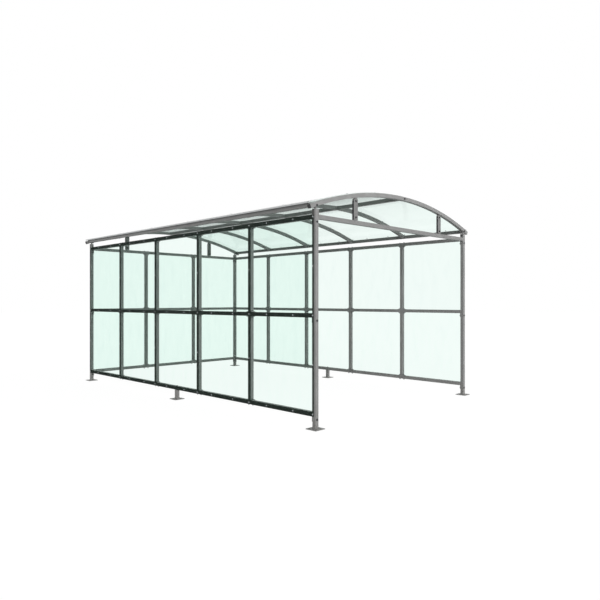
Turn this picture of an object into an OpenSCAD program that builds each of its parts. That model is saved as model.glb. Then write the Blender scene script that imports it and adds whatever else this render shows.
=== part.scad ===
// Trolley shelter, three bays wide and five bays deep: a bolted frame of
// square steel tube, clear wall sheets outside it and a clear arched roof.
// Millimetres, Z up. The open front faces -Y. The origin is on the ground,
// in the middle of the footprint.

/* [Bays] */
// Length of one bay, tube centre to tube centre
bay = 1000; // [800:10:1250]
// Bays along each side wall
side_bays = 5; // [3:2:7]
// Bays across the back wall
back_bays = 3; // [2:1:4]

/* [Square tube] */
// Outside width of every frame tube
tube = 45; // [40:1:60]
// Wall thickness of every frame tube
wall = 3; // [2:0.5:4]

/* [Heights] */
// Centre of the bottom rails above the ground
low_z = 152; // [120:1:260]
// Height from one rail centre to the next
rail_pitch = 1000; // [850:10:1150]
// Top of the posts above the centre of the top rails
post_rise = 78; // [70:1:140]

/* [Base plates] */
// Side of a base plate
foot_side = 140; // [130:5:220]
// Thickness of a base plate
foot_t = 8; // [6:1:15]
// Anchor hole diameter
anchor_d = 14; // [10:1:18]
// Anchor hole spacing, both ways
anchor_pitch = 100; // [90:5:110]

/* [End plates and flanges] */
// Thickness of end plates and caps
plate_t = 6; // [5:0.5:10]
// How far an end plate runs past its tube
ear = 52; // [45:1:60]
// Diameter of the bolt holes in the ears
ear_hole = 11; // [9:1:13]
// Thickness of a mullion flange
flange_t = 8; // [6:0.5:12]
// Length of a mullion flange along its rail
flange_len = 100; // [90:2:120]
// Spacing of the two bolts in a flange
flange_pitch = 72; // [66:2:80]
// Diameter of the flange bolt holes
flange_hole = 11; // [9:1:12]

/* [Arched roof] */
// Outside radius of the arches
arch_r = 4660; // [4300:10:5200]
// How far an arch runs past the posts' centre line
arch_over = 100; // [90:1:140]
// Eaves beam axis outside the posts' centre line
eaves_out = 53; // [50:1:70]
// How far an eaves beam's outer top edge stands outside the arch's curve
eaves_lift = 12.5; // [8:0.5:20]
// Clear gap between a post top and the arch
lug_gap = 25; // [15:1:35]
// Side of the square lugs between the arches and the posts
lug = 16; // [14:1:30]
// Depth of the lugs inside the posts and struts
lug_in = 60; // [50:1:80]
// Thickness of the roof sheets
roof_t = 8; // [4:1:10]

/* [Gable struts] */
// Struts from the middle of the shelter
strut_x = 865; // [600:5:1100]
// Width of a strut, across the shelter
strut_w = 68; // [62:1:80]
// Depth of a strut, along the shelter
strut_d = 25; // [24:1:45]
// Width of a shoulder cut off each side of a strut's top
shoulder = 10; // [4:1:12]
// Height of the same shoulder
shoulder_h = 25; // [10:1:40]
// Clear gap between a strut and the tie below it or the arch above it
strut_gap = 5; // [3:0.5:10]
// Width of the lugs inside the struts
strut_lug = 30; // [24:1:36]
// Clearance between these lugs and the strut's front and back walls
lug_fit = 1.5; // [0.5:0.5:2]
// Diameter of the bolt holes through the struts
strut_hole = 11; // [9:1:12]

/* [Wall sheets] */
// Thickness of the wall sheets
sheet_t = 5; // [4:0.5:8]
// Thickness of the glazing tape behind them
tape_t = 2; // [1:0.5:4]
// Gap between two sheets
sheet_gap = 4; // [2:1:8]

/* [Hidden] */
$fn = 64;

half_y = side_bays * bay / 2;       // post axes, along the sides
half_x = back_bays * bay / 2;       // post axes, across the front
ht = tube / 2;                      // half a tube
in_y = half_y - ht;                 // inner face of the front and back tubes
in_x = half_x - ht;
face_x = half_x + ht;               // outer face of the side walls
face_y = half_y + ht;               // outer face of the back wall
mid_z = low_z + rail_pitch;
top_z = low_z + 2 * rail_pitch;
r_in = arch_r - tube;
post_top = top_z + post_rise;
// Height of the arch centre: the arches clear the posts by lug_gap
cz = post_top + lug_gap - sqrt(pow(r_in, 2) - pow(half_x, 2));
apex_z = cz + arch_r;
arch_half = half_x + arch_over;
arch_a = asin(arch_half / arch_r);
strut_foot = top_z + ht + strut_gap;
strut_top = under_z(strut_x) - strut_gap;
strut_lug_t = strut_d - 2 * wall - 2 * lug_fit;
eaves_x = half_x + eaves_out;
eaves_in = eaves_x - ht;
// The roof sheet leaves the arches as a straight tangent and bears on the
// outer top edge of the eaves beam
bear_x = eaves_x + ht;
bear_r = arch_r + eaves_lift;
eaves_top = cz + sqrt(pow(bear_r, 2) - pow(bear_x, 2));
tan_a = asin(bear_x / bear_r) - acos(arch_r / bear_r);
tan_len = (arch_half - arch_r * sin(tan_a)) / cos(tan_a);
eps = 1;

function under_z(x) = cz + sqrt(pow(r_in, 2) - pow(x, 2));
function along(n, i) = (i - n / 2) * bay;

steel = [0.55, 0.56, 0.57];
black = [0.08, 0.08, 0.08];
clear_sheet = [0.85, 0.95, 0.92, 0.35];

// ---------- shared pieces ----------

// Hollow square tube along X, from x = 0 to len, open at both ends
module tube_x(len) {
  difference() {
    translate([0, -ht, -ht]) cube([len, tube, tube]);
    translate([-eps, wall - ht, wall - ht])
      cube([len + 2 * eps, tube - 2 * wall, tube - 2 * wall]);
  }
}

// Upright hollow square tube between two heights
module tube_z(z0, z1) {
  translate([0, 0, z0]) rotate([0, -90, 0]) tube_x(z1 - z0);
}

// Plate across the end of a tube along X, with an ear below it and a bolt hole
module ear_plate() {
  difference() {
    translate([0, -ht, -ht - ear]) cube([plate_t, tube, tube + ear]);
    translate([-eps, 0, -ear])
      rotate([0, 90, 0]) cylinder(h = plate_t + 2 * eps, d = ear_hole);
    translate([-eps, 0, 0])
      rotate([0, 90, 0]) cylinder(h = plate_t + 2 * eps, d = ear_hole);
  }
}

// Rail along X centred on the origin: a tube between two ear plates
module rail_x(len) {
  translate([-len / 2 + plate_t, 0, 0]) tube_x(len - 2 * plate_t);
  translate([-len / 2, 0, 0]) ear_plate();
  translate([len / 2, 0, 0]) mirror([1, 0, 0]) ear_plate();
}

// Pair of upright holes through a rail for the flange bolts at x
module flange_holes(x, h) {
  for (s = [-1, 1])
    translate([x + s * flange_pitch / 2, 0, -h / 2])
      cylinder(h = h, d = flange_hole);
}

// Rail of n bays with the flange bolt holes at every mullion
module wall_rail(n, len) {
  difference() {
    rail_x(len);
    for (i = [1 : n - 1]) flange_holes(along(n, i), tube + 4 * eps);
  }
}

// Flange lying flat with its underside at z = 0, long side along X
module flange() {
  difference() {
    translate([-flange_len / 2, -ht, 0]) cube([flange_len, tube, flange_t]);
    for (s = [-1, 0, 1])
      translate([s * flange_pitch / 2, 0, -eps])
        cylinder(h = flange_t + 2 * eps, d = flange_hole);
  }
}

// Mullion between two rails, flanged at both ends
module mullion(z0, z1) {
  translate([0, 0, z0]) flange();
  tube_z(z0 + flange_t, z1 - flange_t);
  translate([0, 0, z1 - flange_t]) flange();
}

module mullion_row(n, z0) {
  for (i = [1 : n - 1])
    translate([along(n, i), 0, 0]) mullion(z0 + ht, z0 + rail_pitch - ht);
}

// Base plate with four anchor holes
module foot() {
  difference() {
    translate([-foot_side / 2, -foot_side / 2, 0])
      cube([foot_side, foot_side, foot_t]);
    for (sx = [-1, 1], sy = [-1, 1])
      translate([sx * anchor_pitch / 2, sy * anchor_pitch / 2, -eps])
        cylinder(h = foot_t + 2 * eps, d = anchor_d);
  }
}

// Cap on an upright tube, pierced by the lug
module lug_cap(z1) {
  difference() {
    translate([-ht, -ht, z1 - plate_t]) cube([tube, tube, plate_t]);
    translate([-lug / 2, -lug / 2, z1 - plate_t - eps])
      cube([lug, lug, plate_t + 2 * eps]);
  }
}

// Corner post: base plate, tube and cap. The side rail bolts on from +Y
module post_body() {
  foot();
  tube_z(foot_t, post_top - plate_t);
  lug_cap(post_top);
}

// Bolt holes for the three rails in the faces at +y (and -y when through)
module rail_bolts_y(through) {
  for (z = [low_z, mid_z, top_z])
    translate([0, through ? -ht - eps : 0, z - ear])
      rotate([-90, 0, 0])
        cylinder(h = through ? tube + 2 * eps : ht + eps, d = ear_hole);
}

// Bolt holes in the face at +x at the heights given
module bolts_x(heights) {
  for (z = heights)
    translate([0, 0, z]) rotate([0, 90, 0]) cylinder(h = ht + eps, d = ear_hole);
}

// Front post on the left, drilled through for the side rails
module front_post() {
  difference() {
    post_body();
    rail_bolts_y(true);
    bolts_x([top_z + ear]);
  }
}

// Back post on the left, drilled on its two inner faces
module back_post() {
  difference() {
    post_body();
    mirror([0, 1, 0]) rail_bolts_y(false);
    bolts_x([low_z - ear, mid_z - ear, top_z - ear]);
  }
}

// Short leg under the middle of a bottom rail
module side_leg() {
  foot();
  tube_z(foot_t, low_z - ht - plate_t);
  difference() {
    translate([-ht, -ht, low_z - ht - plate_t]) cube([tube, tube, plate_t]);
    translate([0, 0, low_z - ht - plate_t - eps])
      cylinder(h = plate_t + 2 * eps, d = flange_hole);
  }
}

// Solid or hollow arch band about the arch axis, w wide, r0 to r1
module band(r0, r1, w, a) {
  translate([0, 0, cz]) rotate([90, 0, 0]) rotate([0, 0, 90 - a])
    rotate_extrude(angle = 2 * a, $fn = 720)
      translate([r0, -w / 2]) square([r1 - r0, w]);
}

// Square tube bent to the arch, ends left open
module bent_tube() {
  difference() {
    band(r_in, arch_r, tube, arch_a);
    band(r_in + wall, arch_r - wall, tube - 2 * wall, arch_a + 1);
  }
}

// Lug w wide and t deep under the arch at x, reaching lug_in below the top of
// the post or strut that it stands in
module arch_lug(x, upright_top, w, t) {
  intersection() {
    translate([x - w / 2, -t / 2, upright_top - lug_in])
      cube([w, t, lug_in + lug_gap + tube]);
    translate([0, tube, cz]) rotate([90, 0, 0])
      cylinder(h = 2 * tube, r = r_in + wall / 2, $fn = 720);
  }
}

// End arch with its four lugs, drilled for the eaves beams and the purlin
module end_arch() {
  difference() {
    union() {
      bent_tube();
      for (s = [-1, 1]) {
        arch_lug(s * half_x, post_top, lug, lug);
        arch_lug(s * strut_x, strut_top, strut_lug, strut_lug_t);
      }
    }
    for (s = [-1, 1]) {
      translate([s * (eaves_x - ear), 0, eaves_top - ht]) drill_y(ear_hole);
      translate([s * strut_x, 0, strut_top - lug_in / 2]) drill_y(strut_hole);
    }
    translate([ear, 0, purlin_z]) drill_y(ear_hole);
  }
}

module drill_y(d) {
  translate([0, tube, 0]) rotate([90, 0, 0]) cylinder(h = 2 * tube, d = d);
}

// Inner rib, cut plumb where it meets the eaves beams
module rib() {
  intersection() {
    bent_tube();
    translate([-eaves_in, -tube, 0]) cube([2 * eaves_in, 2 * tube, apex_z + tube]);
  }
}

purlin_z = cz + sqrt(pow(arch_r, 2) - pow(ht, 2)) - ht;

// Bar w wide and t deep from the strut's foot to its shouldered, sloping top,
// drawn back by inset at both ends. It stands on the right of the middle
module strut_bar(w, t, inset) {
  z0 = strut_foot + inset;
  gap = strut_gap + inset;
  x = w / 2;
  xs = x - shoulder;
  translate([0, t / 2, 0]) rotate([90, 0, 0]) linear_extrude(height = t)
    polygon([
      [-x, z0], [x, z0],
      [x, under_z(strut_x + x) - gap - shoulder_h],
      [xs, under_z(strut_x + xs) - gap],
      [-xs, under_z(strut_x - xs) - gap],
      [-x, under_z(strut_x - x) - gap - shoulder_h]]);
}

// Hollow strut, closed at both ends round the lugs it is bolted to
module strut() {
  difference() {
    strut_bar(strut_w, strut_d, 0);
    strut_bar(strut_w - 2 * wall, strut_d - 2 * wall, plate_t);
    for (z = [strut_foot, strut_top])
      translate([-strut_lug / 2, -strut_lug_t / 2, z - 2 * plate_t])
        cube([strut_lug, strut_lug_t, 4 * plate_t]);
    for (z = [strut_foot + lug_in / 2, strut_top - lug_in / 2])
      translate([0, 0, z]) drill_y(strut_hole);
  }
}

// Pair of struts in an end frame, at y
module strut_pair(y) {
  for (s = [0, 1]) mirror([s, 0, 0]) translate([strut_x, y, 0]) strut();
}

// Lugs for the struts to stand over, on the tube at y
module strut_lugs(y) {
  for (s = [-1, 1])
    translate([s * strut_x, y, 0]) difference() {
      translate([-strut_lug / 2, -strut_lug_t / 2, top_z + ht - wall / 2])
        cube([strut_lug, strut_lug_t, wall / 2 + strut_gap + lug_in]);
      translate([0, 0, strut_foot + lug_in / 2]) drill_y(strut_hole);
    }
}

// Outer skin of a wall n bays long, in the plane y = 0, reaching t along +Y
module tape_grid(n, t) {
  w = n * bay;
  difference() {
    union() {
      translate([-w / 2, 0, low_z - ht])
        cube([w, t, 2 * rail_pitch + tube]);
      for (s = [0, 1])
        translate([s * (w - ht) - w / 2, 0, low_z - ht])
          cube([ht, t, post_top - low_z + ht]);
    }
    for (i = [0 : n - 1], k = [0, 1])
      translate([along(n, i) + ht, -eps, low_z + k * rail_pitch + ht])
        cube([bay - tube, t + 2 * eps, rail_pitch - tube]);
  }
}

module sheet_row(n, t) {
  for (i = [0 : n - 1])
    translate([along(n, i) + sheet_gap / 2, 0, low_z - ht])
      cube([bay - sheet_gap, t, 2 * rail_pitch + tube]);
}

// Puts a piece drawn along X, facing +Y, on the left wall
module on_left() {
  rotate([0, 0, 90]) children();
}

module side_rail(z) {
  translate([-half_x, 0, z]) rotate([0, 0, 90]) wall_rail(side_bays, 2 * in_y);
}

module right_copy() {
  mirror([1, 0, 0]) children();
}

// ---------- posts and legs ----------

module post_front_left() {
  color(steel) translate([-half_x, -half_y, 0]) front_post();
}

module post_front_right() {
  right_copy() post_front_left();
}

module post_back_left() {
  color(steel) translate([-half_x, half_y, 0]) back_post();
}

module post_back_right() {
  right_copy() post_back_left();
}

module side_leg_left() {
  color(steel) translate([-half_x, 0, 0]) side_leg();
}

module side_leg_right() {
  right_copy() side_leg_left();
}

// ---------- rails ----------

// Bottom rail, with one more hole over the leg
module left_bottom_rail() {
  color(steel) difference() {
    side_rail(low_z);
    translate([-half_x, 0, low_z - tube])
      cylinder(h = 2 * tube, d = flange_hole);
  }
}

module left_mid_rail() {
  color(steel) side_rail(mid_z);
}

module left_top_rail() {
  color(steel) side_rail(top_z);
}

module right_bottom_rail() {
  right_copy() left_bottom_rail();
}

module right_mid_rail() {
  right_copy() left_mid_rail();
}

module right_top_rail() {
  right_copy() left_top_rail();
}

module back_bottom_rail() {
  color(steel) translate([0, half_y, low_z]) wall_rail(back_bays, 2 * in_x);
}

module back_mid_rail() {
  color(steel) translate([0, half_y, mid_z]) wall_rail(back_bays, 2 * in_x);
}

// Top rail, with the lugs for the two struts over it
module back_top_rail() {
  color(steel) {
    translate([0, half_y, top_z]) wall_rail(back_bays, 2 * in_x);
    strut_lugs(half_y);
  }
}

// Tie across the open front, its ears turned up
module front_tie_beam() {
  color(steel) {
    translate([0, -half_y, top_z]) mirror([0, 0, 1]) rail_x(2 * in_x);
    strut_lugs(-half_y);
  }
}

// ---------- mullions ----------

module left_lower_mullions() {
  color(steel) translate([-half_x, 0, 0]) on_left() mullion_row(side_bays, low_z);
}

module left_upper_mullions() {
  color(steel) translate([-half_x, 0, 0]) on_left() mullion_row(side_bays, mid_z);
}

module right_lower_mullions() {
  right_copy() left_lower_mullions();
}

module right_upper_mullions() {
  right_copy() left_upper_mullions();
}

module back_lower_mullions() {
  color(steel) translate([0, half_y, 0]) mullion_row(back_bays, low_z);
}

module back_upper_mullions() {
  color(steel) translate([0, half_y, 0]) mullion_row(back_bays, mid_z);
}

// ---------- roof frame ----------

module front_arch() {
  color(steel) translate([0, -half_y, 0]) end_arch();
}

module back_arch() {
  color(steel) translate([0, half_y, 0]) end_arch();
}

module roof_rib(i) {
  color(steel) translate([0, along(side_bays, i), 0]) rib();
}

module roof_rib_1() {
  roof_rib(1);
}

module roof_rib_2() {
  roof_rib(2);
}

module roof_rib_3() {
  roof_rib(3);
}

module roof_rib_4() {
  roof_rib(4);
}

// Eaves beam with end plates whose ears turn inward
module eaves_beam_left() {
  color(steel) translate([-eaves_x, 0, eaves_top - ht]) rotate([0, 0, 90])
    rotate([-90, 0, 0]) rail_x(2 * in_y);
}

module eaves_beam_right() {
  right_copy() eaves_beam_left();
}

// Purlin in lengths between the ribs; the end lengths carry ear plates
module ridge_purlin() {
  color(steel) for (i = [0 : side_bays - 1])
    translate([0, along(side_bays, i) + ht, purlin_z]) rotate([0, 0, 90]) {
      first = i == 0;
      last = i == side_bays - 1;
      translate([first ? plate_t : 0, 0, 0])
        tube_x(bay - tube - (first || last ? plate_t : 0));
      if (first) rotate([-90, 0, 0]) ear_plate();
      if (last) translate([bay - tube, 0, 0]) mirror([1, 0, 0])
        rotate([-90, 0, 0]) ear_plate();
    }
}

module front_struts() {
  color(steel) strut_pair(-half_y);
}

module back_struts() {
  color(steel) strut_pair(half_y);
}

// ---------- wall skin ----------

module left_glazing_tape() {
  color(black) translate([-face_x, 0, 0]) on_left() tape_grid(side_bays, tape_t);
}

module right_glazing_tape() {
  right_copy() left_glazing_tape();
}

module back_glazing_tape() {
  color(black) translate([0, face_y, 0]) tape_grid(back_bays, tape_t);
}

module left_wall_sheets() {
  color(clear_sheet) translate([-face_x - tape_t, 0, 0])
    on_left() sheet_row(side_bays, sheet_t);
}

module right_wall_sheets() {
  right_copy() left_wall_sheets();
}

module back_wall_sheets() {
  color(clear_sheet) translate([0, face_y + tape_t, 0]) sheet_row(back_bays, sheet_t);
}

// ---------- roof skin ----------

// Half of one bay of roof sheet, seen from the point where the bend ends: the
// straight part runs down to the eaves, the bent part just past the ridge
module roof_half(w) {
  translate([0, 0, cz]) rotate([0, tan_a, 0]) {
    translate([0, -w / 2, arch_r]) cube([tan_len, w, roof_t]);
    rotate([90, 0, 0]) rotate([0, 0, 90])
      rotate_extrude(angle = tan_a + 1, $fn = 720)
        translate([arch_r, -w / 2]) square([roof_t, w]);
  }
}

// One bay of roof sheet: bent to the arches, then straight to the eaves
module roof_sheet(i) {
  color(clear_sheet) translate([0, along(side_bays, i) + bay / 2, 0])
    for (s = [0, 1]) mirror([s, 0, 0]) roof_half(bay - sheet_gap);
}

module roof_sheet_1() {
  roof_sheet(0);
}

module roof_sheet_2() {
  roof_sheet(1);
}

module roof_sheet_3() {
  roof_sheet(2);
}

module roof_sheet_4() {
  roof_sheet(3);
}

module roof_sheet_5() {
  roof_sheet(4);
}

post_front_left();
post_front_right();
post_back_left();
post_back_right();
side_leg_left();
side_leg_right();
left_bottom_rail();
left_mid_rail();
left_top_rail();
right_bottom_rail();
right_mid_rail();
right_top_rail();
back_bottom_rail();
back_mid_rail();
back_top_rail();
front_tie_beam();
left_lower_mullions();
left_upper_mullions();
right_lower_mullions();
right_upper_mullions();
back_lower_mullions();
back_upper_mullions();
front_arch();
back_arch();
roof_rib_1();
roof_rib_2();
roof_rib_3();
roof_rib_4();
eaves_beam_left();
eaves_beam_right();
ridge_purlin();
front_struts();
back_struts();
left_glazing_tape();
right_glazing_tape();
back_glazing_tape();
left_wall_sheets();
right_wall_sheets();
back_wall_sheets();
roof_sheet_1();
roof_sheet_2();
roof_sheet_3();
roof_sheet_4();
roof_sheet_5();
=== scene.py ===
# Trolley shelter dressed for looking at: welded and bolted square-tube steel
# in grey powder coat, clear sheets on glazing tape, and the small fasteners.
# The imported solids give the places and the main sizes, and the classes' own
# fields give the rest. Metres, Z up, the open front towards -Y.

import logging
from dataclasses import dataclass, field
from enum import Enum
from typing import Callable, Sequence

import bpy
import numpy as np
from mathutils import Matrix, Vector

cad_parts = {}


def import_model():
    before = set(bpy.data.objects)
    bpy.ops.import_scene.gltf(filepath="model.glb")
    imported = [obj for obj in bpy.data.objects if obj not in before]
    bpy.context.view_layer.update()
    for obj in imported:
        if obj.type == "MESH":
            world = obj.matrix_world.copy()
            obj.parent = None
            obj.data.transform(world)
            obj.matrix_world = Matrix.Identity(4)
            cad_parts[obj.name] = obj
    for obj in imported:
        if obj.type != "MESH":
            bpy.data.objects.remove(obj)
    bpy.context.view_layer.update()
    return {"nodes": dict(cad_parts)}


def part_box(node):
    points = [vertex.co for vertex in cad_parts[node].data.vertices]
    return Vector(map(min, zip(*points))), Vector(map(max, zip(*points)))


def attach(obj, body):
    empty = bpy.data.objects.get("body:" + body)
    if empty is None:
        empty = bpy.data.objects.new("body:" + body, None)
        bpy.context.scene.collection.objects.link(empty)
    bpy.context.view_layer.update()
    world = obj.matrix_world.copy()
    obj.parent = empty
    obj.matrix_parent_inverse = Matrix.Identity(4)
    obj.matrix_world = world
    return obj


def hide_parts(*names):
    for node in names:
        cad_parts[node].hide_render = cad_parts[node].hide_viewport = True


Array = np.ndarray
Point = Sequence[float]
Row = tuple[Point, Point]  # where a fastener stands, and which way it points
Material = bpy.types.Material
Socket = bpy.types.NodeSocket
Tree = bpy.types.NodeTree

LOG = logging.getLogger("shelter")
MM = 0.001
AXIS_X, AXIS_Y, AXIS_Z = np.eye(3)

STRUT_W = 68 * MM
PLATE_T = 6 * MM  # post caps, and the end plates of rails and purlin
FLANGE_T = 8 * MM  # flanges of the mullions
SHARP_TURN = np.radians(38)  # an edge that turns more than this is drawn sharp
BEVEL_TURN = np.radians(40)  # one that turns more than this is rounded
SPIN_SEED = 11  # starts the fixed series of the fasteners' spins
SHARE, FIRST, SECOND, MIXED = 0, 6, 7, 2  # sockets of a Mix node set to colour
WHITE = "#FFFFFF"


# ---------------------------------------------------------------- surfaces


@dataclass(frozen=True)
class Shell:
    """A closed surface: its corner points, and its faces in arrays of one
    polygon size each."""

    points: Array
    faces: tuple[Array, ...]

    def moved(self, place: Point) -> "Shell":
        """The same shell with place added to every point."""
        return Shell(self.points + np.asarray(place), self.faces)

    def mirrored(self, axis: int) -> "Shell":
        """The shell with one coordinate negated, and its faces turned back
        outwards.

        Args:
            axis: number of the coordinate.

        Returns:
            The mirror image.
        """
        points = self.points.copy()
        points[:, axis] *= -1.0
        return Shell(points, tuple(f[:, ::-1] for f in self.faces))

    def repeated(self, places: Array, bases: Array) -> "Shell":
        """Copies of the shell in many frames.

        Formula: point = place + x * base row 0 + y * base row 1 + z * base
        row 2, for all points and frames at once.

        Args:
            places: origins, one row for each copy.
            bases: 3 x 3 right-handed frames, one for each copy.

        Returns:
            One shell that holds all the copies.
        """
        places = np.asarray(places, float).reshape(-1, 3)
        points = np.einsum("pi,kij->kpj", self.points, bases) + places[:, None]
        shift = np.arange(len(places))[:, None, None] * len(self.points)
        faces = tuple((f[None] + shift).reshape(-1, f.shape[1]) for f in self.faces)
        return Shell(points.reshape(-1, 3), faces)


def joined(shells: Sequence[Shell]) -> Shell:
    """Several shells made one.

    Args:
        shells: the shells.

    Returns:
        One shell that holds the points and the faces of all, in order.
    """
    starts = np.cumsum([0] + [len(s.points) for s in shells[:-1]])
    faces = [f + start for s, start in zip(shells, starts) for f in s.faces]
    return Shell(np.concatenate([s.points for s in shells]), tuple(faces))


def ring_quads(rings: int, count: int, closed: bool = False) -> Array:
    """Quads between neighbouring rings of points.

    Args:
        rings: how many rings there are.
        count: points in each ring, which closes on itself.
        closed: True where the last ring joins the first.

    Returns:
        Corner numbers, four to a row, facing out where the rings turn
        anticlockwise about the way they advance.
    """
    step = np.arange(rings if closed else rings - 1)[:, None] * count
    turn = np.arange(count)[None, :]
    following = (step + count) % (rings * count)
    nxt = (turn + 1) % count
    quads = np.stack([step + turn, step + nxt, following + nxt, following + turn], -1)
    return quads.reshape(-1, 4)


def rounded_loop(width: float, height: float, radius: float, steps: int) -> Array:
    """Outline of a rounded rectangle about the origin, anticlockwise.

    Formula: each corner is a quarter circle about a centre set in from the
    corner by the radius.

    Args:
        width: its size along the first axis.
        height: its size along the second axis.
        radius: radius of its corners.
        steps: straight steps in each corner.

    Returns:
        Points of the outline, one a row.
    """
    quarter = np.arange(4)[:, None] * np.pi / 2
    angle = quarter + np.linspace(0.0, np.pi / 2, steps + 1)[None, :]
    signs = np.array([[1, 1], [-1, 1], [-1, -1], [1, -1]], float)
    centres = signs * (np.array([width, height]) / 2 - radius)
    arc = radius * np.stack([np.cos(angle), np.sin(angle)], -1)
    return (centres[:, None] + arc).reshape(-1, 2)


def carried(loop: Array, path: Array, side: Array, up: Array) -> Array:
    """A profile carried along a path.

    Formula: point = path + first profile coordinate * side + second profile
    coordinate * up.

    Args:
        loop: the profile, one point a row.
        path: points that it is carried through.
        side: unit vector of the profile's first axis at each point.
        up: unit vector of its second axis, with side x up along the path.

    Returns:
        Points as rings x profile points x 3.
    """
    flat = loop[None, :, 0, None] * side[:, None] + loop[None, :, 1, None] * up[:, None]
    return path[:, None] + flat


def pipe_shell(outer: Array, inner: Array) -> Shell:
    """Closes two runs of rings into one hollow shell.

    Formula: quads between neighbouring rings, outside and inside, and at both
    ends quads from each outer point to its inner one.

    Args:
        outer: rings of the outside.
        inner: rings of the inside, point for point with the outer ones.

    Returns:
        The pipe.
    """
    rings, count = outer.shape[:2]
    side = ring_quads(rings, count)
    hollow = ring_quads(rings, count)[:, ::-1] + rings * count
    a = np.arange(count)
    b = (a + 1) % count
    last = (rings - 1) * count
    into = rings * count
    start = np.stack([b, a, a + into, b + into], -1)
    end = np.stack([a, b, b + into, a + into], -1) + last
    points = np.concatenate([outer.reshape(-1, 3), inner.reshape(-1, 3)])
    return Shell(points, (np.concatenate([side, hollow, start, end]),))


def bar_shell(rings: Array) -> Shell:
    """Closes a run of rings into a solid bar.

    Formula: quads between neighbouring rings, and one polygon through all the
    points of the first ring and one through those of the last.

    Args:
        rings: points as rings x points x 3.

    Returns:
        The bar.
    """
    count = rings.shape[1]
    side = ring_quads(rings.shape[0], count)
    start = np.arange(count)[::-1][None]
    end = np.arange(count)[None] + (rings.shape[0] - 1) * count
    return Shell(rings.reshape(-1, 3), (side, np.concatenate([start, end])))


def straight_rings(loop: Array, start: Point, end: Point, up: Array) -> Array:
    """Two rings of a profile between two points.

    Formula: point = start or end + first profile coordinate * side + second
    profile coordinate * up, with side = up x the way from start to end.

    Args:
        loop: the profile, one point a row.
        start: where the first ring lies.
        end: where the second ring lies.
        up: unit vector of the profile's second axis.

    Returns:
        Points as 2 x profile points x 3.
    """
    path = np.array([start, end], float)
    along = path[1] - path[0]
    along = along / np.linalg.norm(along)
    side = np.cross(up, along)
    return carried(loop, path, np.array([side, side]), np.array([up, up]))


def slab_shell(low: Point, high: Point) -> Shell:
    """A flat plate, for a bevel to finish.

    Formula: a rectangle of the plate's width and depth, carried from its
    lower height to its upper one.

    Args:
        low: one corner.
        high: the corner opposite.

    Returns:
        The plate.
    """
    low, high = np.minimum(low, high), np.maximum(low, high)
    half = (high - low)[:2] / 2
    loop = np.array([[1, 1], [-1, 1], [-1, -1], [1, -1]]) * half
    middle = (low + high) / 2
    bottom, top = np.array([*middle[:2], low[2]]), np.array([*middle[:2], high[2]])
    return bar_shell(straight_rings(loop, bottom, top, AXIS_Y))


def turned_shell(
    profile: Sequence[Point], count: int, radius: Callable[[Array], Array] | None = None
) -> Shell:
    """A profile turned about Z, closed by a flat face at each end.

    Formula: x = r cos a, y = r sin a, z = z, with r multiplied by radius(a)
    for each row that asks for it.

    Args:
        profile: rows of radius, height and how far radius(a) applies, 0 to 1.
        count: points round the axis.
        radius: factor on the radius at each angle, such as a hexagon's.

    Returns:
        The turned shape.
    """
    profile = np.asarray(profile, float)
    angle = np.arange(count) * 2 * np.pi / count
    factor = np.ones(count) if radius is None else radius(angle)
    share = profile[:, 2:3] if profile.shape[1] > 2 else np.zeros((len(profile), 1))
    r = profile[:, :1] * (1.0 + share * (factor[None, :] - 1.0))
    z = np.broadcast_to(profile[:, 1:2], r.shape)
    return bar_shell(np.stack([r * np.cos(angle), r * np.sin(angle), z], -1))


def hexagon(angle: Array) -> Array:
    """A hexagon's radius over its inner one: 1 / cosine of the angle to the nearest flat."""
    return 1.0 / np.cos((angle + np.pi / 6) % (np.pi / 3) - np.pi / 6)


def cross_axes(ways: Array) -> tuple[Array, Array]:
    """Two unit vectors square to each given one, right-handed with it.

    Formula: first = lean x way, made a unit, where lean is X for a way that
    is nearly upright and Z for any other; second = way x first.

    Args:
        ways: unit vectors, one a row.

    Returns:
        The first vectors and the second ones.
    """
    lean = np.where(np.abs(ways[:, 2:]) > 0.9, AXIS_X, AXIS_Z)
    first = np.cross(lean, ways)
    first = first / np.linalg.norm(first, axis=1, keepdims=True)
    return first, np.cross(ways, first)


def facing(normals: Sequence[Point], spins: Array) -> Array:
    """Frames that stand on a surface.

    Formula: the two vectors square to the normal, turned about it by the
    spin, and the normal itself.

    Args:
        normals: unit vectors, one a row.
        spins: turn of each frame about its normal, in radians.

    Returns:
        Right-handed 3 x 3 frames whose third row is the normal.
    """
    normals = np.asarray(normals, float).reshape(-1, 3)
    first, second = cross_axes(normals)
    c, s = np.cos(spins)[:, None], np.sin(spins)[:, None]
    return np.stack([c * first + s * second, c * second - s * first, normals], 1)


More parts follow.
